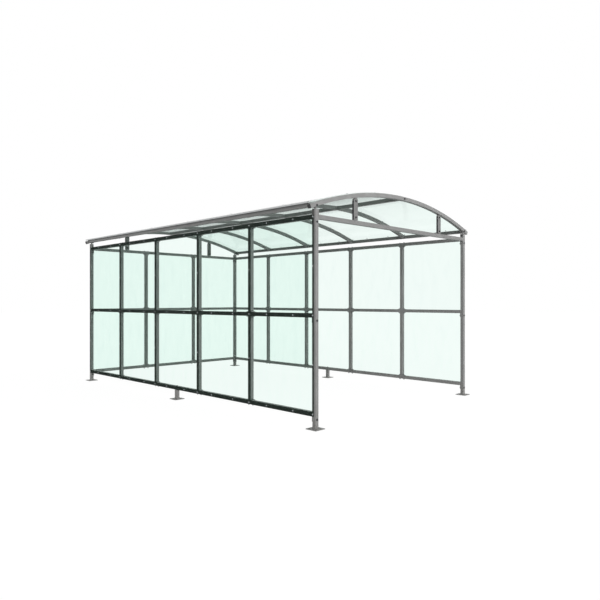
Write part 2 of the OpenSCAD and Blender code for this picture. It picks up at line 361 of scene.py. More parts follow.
@dataclass(frozen=True)
class Weld:
    """A fillet weld: the radius of its bead, the distance between its rings,
    the pitch of the ripples that the torch leaves, the bead's thinnest and how
    far it swells in a ripple, as shares of the radius, the length of its taper
    over the radius, and the points in a ring."""

    size: float = 3 * MM
    step: float = 1.4 * MM
    ripple: float = 3.2 * MM
    least: float = 0.92
    swell: float = 0.12
    taper: float = 1.2
    sides: int = 8

    def bead(self, path: Array, closed: bool) -> Shell:
        """The bead along a path.

        Formula: a circle carried along the path, whose radius swells with the
        absolute sine of the distance over the ripple pitch. An open bead
        shrinks almost to a point at its ends, with the root of the distance
        from the end.

        Args:
            path: points along the bead, evenly spaced.
            closed: True where the path comes back to its start.

        Returns:
            The bead.
        """
        after, before = np.roll(path, -1, 0), np.roll(path, 1, 0)
        if not closed:
            after[-1], before[0] = path[-1], path[0]
        along = after - before
        along = along / np.linalg.norm(along, axis=1, keepdims=True)
        side, up = cross_axes(along)
        distance = np.linalg.norm(np.diff(path, axis=0), axis=1)
        distance = np.concatenate([[0.0], np.cumsum(distance)])
        ripples = np.abs(np.sin(np.pi * distance / self.ripple))
        radius = self.size * (self.least + self.swell * ripples)
        if not closed:
            reach = np.minimum(distance, distance[-1] - distance) / (self.taper * self.size)
            radius = radius * np.sqrt(np.clip(reach, 0.02, 1.0))
        angle = np.arange(self.sides) * 2 * np.pi / self.sides
        circle = np.stack([np.cos(angle), np.sin(angle)], -1)
        rings = carried(circle, path * 0, side, up) * radius[:, None, None] + path[:, None]
        if not closed:
            return bar_shell(rings)
        faces = ring_quads(len(path), self.sides, closed=True)
        return Shell(rings.reshape(-1, 3), (faces,))

    def straight(self, start: Point, end: Point) -> Shell:
        """The bead between two points.

        Args:
            start: one end.
            end: the other end.

        Returns:
            The bead.
        """
        start, end = np.array(start, float), np.array(end, float)
        count = max(int(np.linalg.norm(end - start) / self.step), 6)
        path = start + (end - start) * np.linspace(0, 1, count)[:, None]
        return self.bead(path, closed=False)

    def around(self, loop: Array, height: Callable[[Array], Array] | float) -> Shell:
        """The bead round a flat outline.

        Formula: points evenly spaced by distance along the outline, each at
        the height for its x.

        Args:
            loop: the outline, one point a row.
            height: one height for all of it, or the height at each x.

        Returns:
            The bead.
        """
        ring = np.concatenate([loop, loop[:1]])
        run = np.linalg.norm(np.diff(ring, axis=0), axis=1)
        run = np.concatenate([[0], np.cumsum(run)])
        count = int(run[-1] / self.step)
        at = np.arange(count) * run[-1] / count
        x, y = (np.interp(at, run, ring[:, i]) for i in (0, 1))
        z = height(x) if callable(height) else np.full(count, height)
        return self.bead(np.stack([x, y, z], -1), closed=True)


# ---------------------------------------------------------------- materials


def linear(code: str) -> tuple[float, float, float, float]:
    """Turns an sRGB colour into a linear one.

    Formula: value / 12.92 up to 0.04045, and ((value + 0.055) / 1.055) to the
    power of 2.4 above.

    Args:
        code: the colour in hex, with its hash sign.

    Returns:
        Linear red, green and blue, and an alpha of 1.
    """
    value = np.array([int(code[i : i + 2], 16) for i in (1, 3, 5)]) / 255
    low, high = value / 12.92, ((value + 0.055) / 1.055) ** 2.4
    return (*(float(v) for v in np.where(value <= 0.04045, low, high)), 1.0)


def add_node(
    tree: Tree, kind: str, inputs: dict[str | int, object] | None = None, **settings: object
) -> bpy.types.Node:
    """Adds one node.

    Args:
        tree: the node tree.
        kind: the node's type name.
        inputs: values or sockets for its inputs, by name or number.
        settings: its own settings.

    Returns:
        The node.
    """
    node = tree.nodes.new(kind)
    for name, value in settings.items():
        setattr(node, name, value)
    for name, value in (inputs or {}).items():
        if isinstance(value, Socket):
            tree.links.new(value, node.inputs[name])
        else:
            node.inputs[name].default_value = value
    return node


def cloud(
    tree: Tree, place: Socket, size: float, detail: float = 3.0, stretch: Point = (1, 1, 1)
) -> Socket:
    """Soft noise.

    Args:
        tree: the node tree.
        place: coordinates in metres.
        size: how far across its blotches are, about.
        detail: how many finer layers it has.
        stretch: how much longer the blotches are along each axis.

    Returns:
        The noise, mostly between 0.3 and 0.7.
    """
    scale = tuple(1.0 / (size * s) for s in stretch)
    scaled = add_node(tree, "ShaderNodeMapping", {"Vector": place, "Scale": scale}).outputs[0]
    inputs = {"Vector": scaled, "Scale": 1.0, "Detail": detail, "Roughness": 0.55}
    return add_node(tree, "ShaderNodeTexNoise", inputs).outputs["Fac"]


def patches(
    tree: Tree,
    place: Socket,
    size: float,
    edges: Point,
    detail: float = 3.0,
    stretch: Point = (1, 1, 1),
    ends: Point = (0.0, 1.0),
) -> Socket:
    """Soft noise drawn out into patches.

    Formula: as the noise goes from one edge to the other, the result goes
    evenly from one end value to the other, and it stays there past them.

    Args:
        tree: the node tree.
        place: coordinates in metres.
        size: how far across the patches are, about.
        edges: noise at which the patches begin, and at which they are full.
        detail: how many finer layers the noise has.
        stretch: how much longer the patches are along each axis.
        ends: the result outside the patches, and inside them.

    Returns:
        The result.
    """
    noise = cloud(tree, place, size, detail, stretch)
    inputs = {0: noise, 1: edges[0], 2: edges[1], 3: ends[0], 4: ends[1]}
    return add_node(tree, "ShaderNodeMapRange", inputs).outputs[0]


@dataclass(frozen=True)
class Finish:
    """What every finish shares: a name, and a material round its shader."""

    name: str

    def shader(self, tree: Tree, place: Socket) -> Socket:
        """Adds the finish's own nodes; every finish has its own version of this."""
        raise NotImplementedError

    def material(self) -> Material:
        """Makes the material.

        Returns:
            A material with the finish's own nodes, on object coordinates.
        """
        material = bpy.data.materials.new(self.name)
        material.use_nodes = True
        tree = material.node_tree
        tree.nodes.clear()
        place = add_node(tree, "ShaderNodeTexCoord").outputs["Object"]
        add_node(tree, "ShaderNodeOutputMaterial", {0: self.shader(tree, place)})
        return material


@dataclass(frozen=True)
class PowderCoat(Finish):
    """Steel tube under satin grey polyester powder coat, sprayed dry and
    stoved: an even grey with a soft sheen, a faint orange peel, and a little
    road dust low down."""

    name: str = "powder_coated_steel"
    light: str = "#979796"
    dark: str = "#8C8C8B"
    dust: str = "#86827A"
    roughness: float = 0.46
    mottle: float = 180 * MM
    dulling: float = 60 * MM
    splash: float = 30 * MM
    dust_top: float = 280 * MM
    dust_most: float = 0.45
    peel: float = 3.0 * MM  # the real peel is 1 mm; drawn coarser so it shows

    def shader(self, tree: Tree, place: Socket) -> Socket:
        """Adds the coat's nodes.

        Args:
            tree: the node tree.
            place: object coordinates.

        Returns:
            The shader.
        """
        colours = {
            SHARE: patches(tree, place, self.mottle, (0.35, 0.65), 4),
            FIRST: linear(self.dark),
            SECOND: linear(self.light),
        }
        coat = add_node(tree, "ShaderNodeMix", colours, data_type="RGBA").outputs[MIXED]
        height = add_node(tree, "ShaderNodeSeparateXYZ", {0: place}).outputs[2]
        fall = {0: height, 1: 0.0, 2: self.dust_top, 3: self.dust_most, 4: 0.0}
        low = add_node(tree, "ShaderNodeMapRange", fall).outputs[0]
        factors = {0: low, 1: patches(tree, place, self.splash, (0.4, 0.65))}
        grime = add_node(tree, "ShaderNodeMath", factors, operation="MULTIPLY").outputs[0]
        colours = {SHARE: grime, FIRST: coat, SECOND: linear(self.dust)}
        dusty = add_node(tree, "ShaderNodeMix", colours, data_type="RGBA").outputs[MIXED]
        sheen = patches(tree, place, self.dulling, (0.3, 0.7), ends=(-0.05, 0.06))
        rough = add_node(tree, "ShaderNodeMath", {0: sheen, 1: self.roughness}).outputs[0]
        height = cloud(tree, place, self.peel, 1)
        relief = {"Strength": 0.10, "Distance": 0.1 * MM, "Height": height}
        peel = add_node(tree, "ShaderNodeBump", relief).outputs[0]
        skin = {"Base Color": dusty, "Roughness": rough, "Normal": peel, "IOR": 1.5}
        return add_node(tree, "ShaderNodeBsdfPrincipled", skin).outputs[0]


@dataclass(frozen=True)
class WeatheredPolymer(Finish):
    """A soft or moulded black polymer that has stood outdoors: one dull dark
    colour with a greyish bloom in patches, and a fine texture."""

    dark: str
    bloom: str
    roughness: float
    patch: float
    patch_low: float
    texture: float
    strength: float
    relief: float

    def shader(self, tree: Tree, place: Socket) -> Socket:
        """Adds the polymer's nodes.

        Args:
            tree: the node tree.
            place: object coordinates.

        Returns:
            The shader.
        """
        colours = {
            SHARE: patches(tree, place, self.patch, (self.patch_low, 0.7), 4),
            FIRST: linear(self.dark),
            SECOND: linear(self.bloom),
        }
        colour = add_node(tree, "ShaderNodeMix", colours, data_type="RGBA").outputs[MIXED]
        height = cloud(tree, place, self.texture, 1)
        relief = {"Strength": self.strength, "Distance": self.relief, "Height": height}
        normal = add_node(tree, "ShaderNodeBump", relief).outputs[0]
        skin = {"Base Color": colour, "Roughness": self.roughness, "Normal": normal}
        return add_node(tree, "ShaderNodeBsdfPrincipled", skin).outputs[0]


@dataclass(frozen=True)
class GlazingTapeAndShade(WeatheredPolymer):
    """Closed-cell EPDM glazing tape, extruded and slit: matt, with fine cells,
    and a black that the weather has turned to a dark grey. Along the frame behind
    the sheets its dark band is partly painted shade, for the shade that the sheets
    cast on the frame."""

    name: str = "epdm_glazing_tape"
    dark: str = "#565654"
    bloom: str = "#636361"
    roughness: float = 0.82
    patch: float = 90 * MM
    patch_low: float = 0.4
    texture: float = 2.5 * MM  # the real cells are 0.3 mm; drawn coarser
    strength: float = 0.25
    relief: float = 0.2 * MM


@dataclass(frozen=True)
class MouldedPlastic(WeatheredPolymer):
    """Black moulded polyethylene of tube plugs and bolt caps: a fine
    spark texture, a low sheen, and a greyish bloom from the weather. The same
    black draws the painted shade of the strips up the struts' sides."""

    name: str = "black_moulded_plastic"
    dark: str = "#2D2D2E"
    bloom: str = "#39393A"
    roughness: float = 0.62
    patch: float = 20 * MM
    patch_low: float = 0.35
    texture: float = 1.5 * MM  # the real texture is 0.3 mm; drawn coarser
    strength: float = 0.2
    relief: float = 0.08 * MM


@dataclass(frozen=True)
class ClearSheet(Finish):
    """Clear PETG sheet, extruded between polished rolls: see-through with a
    faint green tint, a gloss with a very slow roll waviness, and thin dried
    rain film. Where it is looked along, the longer way through it can deepen
    the tint to the slant colour."""

    name: str = "clear_petg_sheet"
    tint: str = "#F2FCF8"
    film: str = "#EFFAF6"
    shade: str = "#CAD4D0"
    slant: str = "#F2FCF8"
    slant_from: float = 0.66
    slant_full: float = 0.90
    roughness: float = 0.0
    film_rough: float = 0.03
    ior: float = 1.04  # PETG is 1.57; matched to the weak mirroring of a thin pane
    spots: float = 110 * MM
    wave: float = 260 * MM

    def shader(self, tree: Tree, place: Socket) -> Socket:
        """Adds the sheet's nodes. Rays that carry light to other pieces go
        straight through, dimmed, so that the sheet shades what is under it as
        a real one does.

        Args:
            tree: the node tree.
            place: object coordinates.

        Returns:
            The shader.
        """
        film = patches(tree, place, self.spots, (0.45, 0.75), 5, (1, 1, 3))
        colours = {SHARE: film, FIRST: linear(self.tint), SECOND: linear(self.film)}
        colour = add_node(tree, "ShaderNodeMix", colours, data_type="RGBA").outputs[MIXED]
        if self.slant != self.tint:
            along = add_node(tree, "ShaderNodeLayerWeight", {"Blend": 0.5}).outputs["Facing"]
            reach = {0: along, 1: self.slant_from, 2: self.slant_full}
            share = add_node(tree, "ShaderNodeMapRange", reach).outputs[0]
            colours = {SHARE: share, FIRST: colour, SECOND: linear(self.slant)}
            colour = add_node(tree, "ShaderNodeMix", colours, data_type="RGBA").outputs[MIXED]
        rough = {0: film, 3: self.roughness, 4: self.roughness + self.film_rough}
        height = cloud(tree, place, self.wave, 1)
        relief = {"Strength": 0.06, "Distance": 0.5 * MM, "Height": height}
        wave = add_node(tree, "ShaderNodeBump", relief).outputs[0]
        skin = {
            "Base Color": colour,
            "Roughness": add_node(tree, "ShaderNodeMapRange", rough).outputs[0],
            "IOR": self.ior,
            "Transmission Weight": 1.0,
            "Normal": wave,
        }
        glass = add_node(tree, "ShaderNodeBsdfPrincipled", skin).outputs[0]
        clear = add_node(tree, "ShaderNodeBsdfTransparent", {0: linear(self.shade)}).outputs[0]
        path = add_node(tree, "ShaderNodeLightPath").outputs
        kinds = {0: path["Is Shadow Ray"], 1: path["Is Diffuse Ray"]}
        gathering = add_node(tree, "ShaderNodeMath", kinds, operation="MAXIMUM").outputs[0]
        return add_node(tree, "ShaderNodeMixShader", {0: gathering, 1: glass, 2: clear}).outputs[0]


@dataclass(frozen=True)
class SawnEdge(Finish):
    """Sawn and scraped edge of the clear sheet: a pale frosted green-white
    with fine saw marks across it."""

    name: str = "sawn_petg_edge"
    light: str = "#E9F2EE"
    dark: str = "#DCE7E2"
    roughness: float = 0.5
    mark: float = 2.0 * MM  # real saw marks are 0.5 mm apart; drawn coarser

    def shader(self, tree: Tree, place: Socket) -> Socket:
        """Adds the edge's nodes.

        Args:
            tree: the node tree.
            place: object coordinates.

        Returns:
            The shader.
        """
        marks = patches(tree, place, self.mark, (0.35, 0.65), 2)
        colours = {SHARE: marks, FIRST: linear(self.dark), SECOND: linear(self.light)}
        colour = add_node(tree, "ShaderNodeMix", colours, data_type="RGBA").outputs[MIXED]
        relief = {"Strength": 0.2, "Distance": 0.1 * MM, "Height": marks}
        normal = add_node(tree, "ShaderNodeBump", relief).outputs[0]
        skin = {"Base Color": colour, "Roughness": self.roughness, "Normal": normal}
        return add_node(tree, "ShaderNodeBsdfPrincipled", skin).outputs[0]


@dataclass(frozen=True)
class BareMetal(Finish):
    """Plated or mill-finished metal of fasteners and trim: a metal grey that
    varies from patch to patch, the darker patches duller, with fine handling
    marks."""

    light: str
    dark: str
    roughness: float
    metallic: float = 1.0
    vary: float = 0.06
    patch: float = 7 * MM
    mark: float = 1.2 * MM  # real scratches are 0.1 mm wide; drawn coarser

    def shader(self, tree: Tree, place: Socket) -> Socket:
        """Adds the metal's nodes.

        Args:
            tree: the node tree.
            place: object coordinates.

        Returns:
            The shader.
        """
        patch = patches(tree, place, self.patch, (0.35, 0.65), 4)
        colours = {SHARE: patch, FIRST: linear(self.dark), SECOND: linear(self.light)}
        colour = add_node(tree, "ShaderNodeMix", colours, data_type="RGBA").outputs[MIXED]
        height = cloud(tree, place, self.mark, 2)
        relief = {"Strength": 0.2, "Distance": 0.05 * MM, "Height": height}
        rough = {0: patch, 3: self.roughness + self.vary, 4: self.roughness - self.vary}
        skin = {
            "Base Color": colour,
            "Roughness": add_node(tree, "ShaderNodeMapRange", rough).outputs[0],
            "Metallic": self.metallic,
            "Normal": add_node(tree, "ShaderNodeBump", relief).outputs[0],
        }
        return add_node(tree, "ShaderNodeBsdfPrincipled", skin).outputs[0]


# The beams and the struts have the same coat drawn darker: painted shade, for the
# shade that falls on the tie under the arch, on the eaves beams' outer faces and
# on the struts under the roof. The roof sheets, which are mostly looked along,
# show their tint more than the walls.
# The screws are bright zinc a little dulled, and the bolts a duller zinc.
SHADED_BEAM_COAT = PowderCoat("powder_coat_beams_painted_shade", "#8E8E8D", "#838382")
SHADED_STRUT_COAT = PowderCoat("powder_coated_struts", "#7F7F7E", "#747473")
ROOF_SHEET = ClearSheet("clear_petg_roof_sheet", slant="#CFD9D5")
BRIGHT_ZINC = BareMetal("bright_zinc_screws", "#B3B6B8", "#95999C", 0.35)
DULL_ZINC = BareMetal("dull_zinc_bolts", "#76787A", "#5E6062", 0.48, 0.75)
MILL_ALUMINIUM = BareMetal("mill_aluminium_trim", "#BFC1C1", "#B0B2B2", 0.42)


# ---------------------------------------------------------------- pieces


class Softening(Enum):
    """How the sharp edges of a piece are finished, by radius in metres."""

    PLATE = 0.9 * MM
    SMALL = 0.25 * MM
    NONE = 0.0


class Slot(Enum):
    """Names of the record's material slots."""

    STEEL = "frame_steel"
    TAPE = "glazing_tape"
    ROOF = "roof_sheet"


class Place(Enum):
    """A named place, whose value is the sign of its coordinate."""

    def __str__(self) -> str:
        """The place as the pieces' names have it."""
        return self.name.lower()


class Side(Place):
    """The two long sides, by the sign of X."""

    LEFT = -1
    RIGHT = 1


class End(Place):
    """The open front and the glazed back, by the sign of Y."""

    FRONT = -1
    BACK = 1


def make_piece(
    name: str,
    shells: Sequence[Shell],
    material: Material,
    softening: Softening = Softening.PLATE,
    node: str = "",
) -> bpy.types.Object:
    """Makes one object of closed shells, in place, riding on the root body.

    Args:
        name: the object's name.
        shells: the closed shells that it is made of.
        material: its finish.
        softening: how its sharp edges are rounded.
        node: the CAD node that it stands for, if any.

    Returns:
        The object.
    """
    whole = joined(shells)
    mesh = bpy.data.meshes.new(name)
    mesh.vertices.add(len(whole.points))
    mesh.vertices.foreach_set("co", whole.points.astype(np.float32).ravel())
    corners = np.concatenate([f.ravel() for f in whole.faces])
    sizes = np.concatenate([np.full(len(f), f.shape[1]) for f in whole.faces])
    mesh.loops.add(len(corners))
    mesh.loops.foreach_set("vertex_index", corners.astype(np.int32))
    mesh.polygons.add(len(sizes))
    starts = np.concatenate([[0], np.cumsum(sizes)[:-1]])
    mesh.polygons.foreach_set("loop_start", starts.astype(np.int32))
    mesh.update(calc_edges=True)
    mesh.validate()
    mesh.shade_smooth()
    mesh.set_sharp_from_angle(angle=SHARP_TURN)
    mesh.materials.append(material)
    piece = bpy.data.objects.new(name, mesh)
    bpy.context.scene.collection.objects.link(piece)
    if softening is not Softening.NONE:
        bevel = piece.modifiers.new("soft_edges", "BEVEL")
        bevel.width = softening.value
        bevel.segments = 2
        bevel.limit_method = "ANGLE"
        bevel.angle_limit = BEVEL_TURN
    normals = piece.modifiers.new("flat_faces", "WEIGHTED_NORMAL")
    normals.keep_sharp = True
    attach(piece, "root")
    if node:
        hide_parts(node)
    LOG.info("%s: %d faces", name, len(sizes))
    return piece


def make_steel(node: str, shells: Sequence[Shell], material: Material) -> None:
    """Makes the dressed piece that stands for one node of the steel frame."""
    make_piece(f"{node}_dressed", shells, material, node=node)


@dataclass(frozen=True)
class Wall:
    """One glazed wall: its name, the unit vectors outwards and along it, its
    bays, and how far its uprights' axes and its sheets' outer faces are from
    the middle of the shelter."""

    name: str
    out: Array
    along: Array
    bays: int
    reach: float
    face: float


@dataclass(frozen=True)
class Plan:
    """The shelter's main sizes and levels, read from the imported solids."""

    half_x: float
    half_y: float
    tube: float
    ear: float
    low_z: float
    mid_z: float
    top_z: float
    post_top: float
    strut_x: float
    strut_d: float
    strut_foot: float
    arch_half: float
    arch_r: float
    apex_z: float
    eaves_x: float
    eaves_top: float
    side_face: float
    back_face: float
    roof_t: float
    side_bays: int
    back_bays: int

    @classmethod
    def from_cad(cls, nodes: dict[str, bpy.types.Object]) -> "Plan":
        """Reads the plan from the boxes of the CAD nodes.

        Formula: with half a rib's span e and its inner rise h, the arch's
        inner radius is (e squared + h squared) / 2h.

        Args:
            nodes: the CAD nodes by name.

        Returns:
            The plan.
        """
        low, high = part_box("post_front_left")
        mid_low, mid_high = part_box("left_mid_rail")
        tube = mid_high.x - mid_low.x
        strut_low, strut_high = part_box("front_struts")
        rib_low, rib_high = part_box("roof_rib_1")
        arch_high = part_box("front_arch")[1]
        beam_low, beam_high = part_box("eaves_beam_left")
        rise = rib_high.z - tube - rib_low.z
        inner = (rib_high.x**2 + rise**2) / (2 * rise)
        half_x, half_y = -(low.x + high.x) / 2, -(low.y + high.y) / 2
        bays = sum(name.startswith("roof_sheet_") for name in nodes)
        return cls(
            half_x=half_x,
            half_y=half_y,
            tube=tube,
            ear=mid_high.z - mid_low.z - tube,
            low_z=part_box("left_bottom_rail")[1].z - tube / 2,
            mid_z=mid_high.z - tube / 2,
            top_z=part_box("left_top_rail")[1].z - tube / 2,
            post_top=high.z,
            strut_x=strut_high.x - STRUT_W / 2,
            strut_d=strut_high.y - strut_low.y,
            strut_foot=strut_low.z,
            arch_half=arch_high.x,
            arch_r=inner + tube,
            apex_z=arch_high.z,
            eaves_x=-beam_low.x - tube / 2,
            eaves_top=beam_high.z,
            side_face=-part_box("left_wall_sheets")[0].x,
            back_face=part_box("back_wall_sheets")[1].y,
            roof_t=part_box("roof_sheet_1")[1].z - arch_high.z,
            side_bays=bays,
            back_bays=round(half_x * bays / half_y),
        )

    @property
    def bay(self) -> float:
        """Length of one bay."""
        return 2 * self.half_y / self.side_bays

    @property
    def arch_cz(self) -> float:
        """Height of the arch centre."""
        return self.apex_z - self.arch_r

    @property
    def levels(self) -> tuple[float, float, float]:
        """Heights of the rail axes."""
        return self.low_z, self.mid_z, self.top_z

    @property
    def strut_gap(self) -> float:
        """Clear gap below and above a strut."""
        return self.strut_foot - self.top_z - self.tube / 2

    @property
    def strut_top(self) -> float:
        """Top of a strut on its axis."""
        return float(self.under_z(self.strut_x)) - self.strut_gap

    @property
    def middles(self) -> Array:
        """Middle of each side bay, along Y."""
        return (np.arange(self.side_bays) + 0.5 - self.side_bays / 2) * self.bay

    @property
    def walls(self) -> tuple[Wall, Wall, Wall]:
        """The shelter's glazed walls.

        Returns:
            The left, right and back walls.
        """
        long = [(str(s), s.value * AXIS_X, AXIS_Y, self.side_bays) for s in Side]
        left, right = (Wall(*row, self.half_x, self.side_face) for row in long)
        back = Wall("back", AXIS_Y, AXIS_X, self.back_bays, self.half_y, self.back_face)
        return left, right, back

    def along(self, bays: int) -> Array:
        """Places of the uprights between the posts of a wall."""
        return (np.arange(1, bays) - bays / 2) * self.bay

    def under_z(self, x: Array | float) -> Array:
        """Height of the arches' inside: centre + root of (inner radius squared - x squared)."""
        return self.arch_cz + np.sqrt((self.arch_r - self.tube) ** 2 - np.square(x))


@dataclass(frozen=True)
class Tubing:
    """Cold-formed square hollow section with rounded corners."""

    side: float
    wall: float = 3.0 * MM
    corner: float = 2.0 * MM
    steps: int = 4
    bend_steps: int = 97

    @property
    def outer(self) -> Array:
        """The outside outline."""
        return rounded_loop(self.side, self.side, self.corner, self.steps)

    @property
    def inner(self) -> Array:
        """The inside outline."""
        hollow = self.side - 2 * self.wall
        return rounded_loop(hollow, hollow, 0.5 * self.corner, self.steps)

    def length(self, start: Point, end: Point, up: Array) -> Shell:
        """A straight length between two points, its outline's second axis along up."""
        rings = [straight_rings(loop, start, end, up) for loop in (self.outer, self.inner)]
        return pipe_shell(*rings)

    def cap(self, centre: Point, thickness: float) -> Shell:
        """A plate that closes an upright tube, its underside at centre."""
        top = np.asarray(centre, float) + AXIS_Z * thickness
        return bar_shell(straight_rings(self.outer, centre, top, AXIS_Y))

    def bent_rings(self, loop: Array, plan: Plan, y: float, plumb_at: float) -> Array:
        """One outline carried round the arch.

        Formula: x = r sin a and z = centre + r cos a, where r is the profile
        point's own radius, and a runs evenly between plus and minus the end
        angle. A square end has the arch's angle, and a plumb end the angle
        whose sine is the end's x over r.

        Args:
            loop: the outline, one point a row.
            plan: the shelter's sizes.
            y: the plane that the length lies in.
            plumb_at: x of plumb-cut ends, or 0 for square-cut ends.

        Returns:
            Points as rings x outline points x 3.
        """
        r = plan.arch_r - self.side / 2 + loop[None, :, 1]
        end = plumb_at / r if plumb_at else plan.arch_half / plan.arch_r + 0 * r
        angle = np.linspace(-1.0, 1.0, self.bend_steps)[:, None] * np.arcsin(end)
        x, z = r * np.sin(angle), plan.arch_cz + r * np.cos(angle)
        return np.stack([x, y + np.broadcast_to(loop[None, :, 0], x.shape), z], -1)

    def bent(self, plan: Plan, y: float, plumb_at: float = 0.0) -> Shell:
        """A length bent to the arch in the plane of y, its ends square or plumb at an x."""
        rings = [self.bent_rings(loop, plan, y, plumb_at) for loop in (self.outer, self.inner)]
        return pipe_shell(*rings)


@dataclass(frozen=True)
class BasePlate:
    """Square base plate with four round anchor holes."""

    side: float = 140 * MM
    thickness: float = 8 * MM
    pitch: float = 100 * MM
    hole: float = 14 * MM
    hole_steps: int = 24

    def shell(self) -> Shell:
        """The plate about the origin, its underside at z = 0.

        Formula: each quarter is a grid in polar form about its hole, from the
        hole's circle out to the quarter's square edge, which lies at the
        smaller of the distances to its two facing sides. The quarters are
        mirrored, and points that coincide are made one.

        Returns:
            The plate.
        """
        reach, hole_at = self.side / 2, self.pitch / 2
        corners = np.array([[reach, reach], [0, reach], [0, 0], [reach, 0]]) - hole_at
        round_hole = np.arange(self.hole_steps) * 2 * np.pi / self.hole_steps
        to_corners = np.arctan2(corners[:, 1], corners[:, 0]) % (2 * np.pi)
        angle = np.unique(np.concatenate([round_hole, to_corners]).round(6))
        way = np.stack([np.cos(angle), np.sin(angle)], -1)
        safe = np.where(np.abs(way) < 1e-9, 1e-9, way)
        walls = np.where(safe > 0, (reach - hole_at) / safe, -hole_at / safe)
        rim = hole_at + way * walls.min(axis=1, keepdims=True)
        flat = np.concatenate([hole_at + way * self.hole / 2, rim])
        upper, lower = (
            np.pad(flat, ((0, 0), (0, 1)), constant_values=z) for z in (self.thickness, 0.0)
        )
        count = len(angle)
        a = np.arange(count)
        b = (a + 1) % count
        down = 2 * count
        top = np.stack([a, a + count, b + count, b], -1)
        under = top[:, ::-1] + down
        hole = np.stack([a, b, b + down, a + down], -1)
        outside = (np.abs(rim - reach) < 1e-6) & (np.abs(rim[b] - reach) < 1e-6)
        edge = np.stack([a + count, a + count + down, b + count + down, b + count], -1)
        edge = edge[outside.any(axis=1)]
        faces = np.concatenate([top, under, hole, edge])
        quarter = Shell(np.concatenate([upper, lower]), (faces,))
        left = quarter.mirrored(0)
        both = joined([quarter, left, quarter.mirrored(1), left.mirrored(1)])
        merged, where = np.unique(both.points.round(6), axis=0, return_inverse=True)
        return Shell(merged, tuple(where.ravel()[f] for f in both.faces))


@dataclass(frozen=True)
class Lug:
    """Flat bar welded to a frame tube, which stands inside an upright."""

    width: float
    depth: float
    corner: float = 1.5 * MM
    reach: float = 60 * MM
    weld: Weld = Weld()

    def shells(
        self, x: float, y: float, low: float, high: float, weld_at: Callable[[Array], Array] | float
    ) -> list[Shell]:
        """The bar and the fillet weld round it.

        Formula: a rounded rectangle carried from the lower height to the
        upper one, and a bead round the same outline.

        Args:
            x: its axis.
            y: its axis.
            low: height of its lower end.
            high: height of its upper end.
            weld_at: height of the weld, or the height at each x.

        Returns:
            The bar and the weld.
        """
        loop = rounded_loop(self.width, self.depth, self.corner, 3)
        bar = bar_shell(straight_rings(loop, (x, y, low), (x, y, high), AXIS_Y))
        return [bar, self.weld.around(loop + np.array([x, y]), weld_at)]


POST_LUG = Lug(16 * MM, 16 * MM)
STRUT_LUG = Lug(30 * MM, 16 * MM)


# ---------------------------------------------------------------- steel frame


@dataclass(frozen=True)
class Uprights:
    """Corner posts and side legs: tube, base plate, cap and base weld."""

    plan: Plan
    tubing: Tubing
    cap_t: float = PLATE_T
    foot: BasePlate = BasePlate()
    weld: Weld = Weld(4 * MM, 1.3 * MM)

    def standing(self, x: float, y: float, top: float) -> list[Shell]:
        """One upright.

        Args:
            x: its axis.
            y: its axis.
            top: height of its cap's top.

        Returns:
            Its base plate, tube, cap and base weld.
        """
        foot_t, under_cap = self.foot.thickness, (x, y, top - self.cap_t)
        return [
            self.foot.shell().moved((x, y, 0)),
            self.tubing.length((x, y, foot_t), under_cap, AXIS_Y),
            self.tubing.cap(under_cap, self.cap_t),
            self.weld.around(self.tubing.outer + np.array([x, y]), foot_t),
        ]

    def build(self, material: Material) -> None:
        """Makes the four posts and the two legs.

        Args:
            material: their coat.
        """
        plan = self.plan
        leg_top = plan.low_z - self.tubing.side / 2
        for side in Side:
            x = side.value * plan.half_x
            for end in End:
                shells = self.standing(x, end.value * plan.half_y, plan.post_top)
                make_steel(f"post_{end}_{side}", shells, material)
            make_steel(f"side_leg_{side}", self.standing(x, 0.0, leg_top), material)


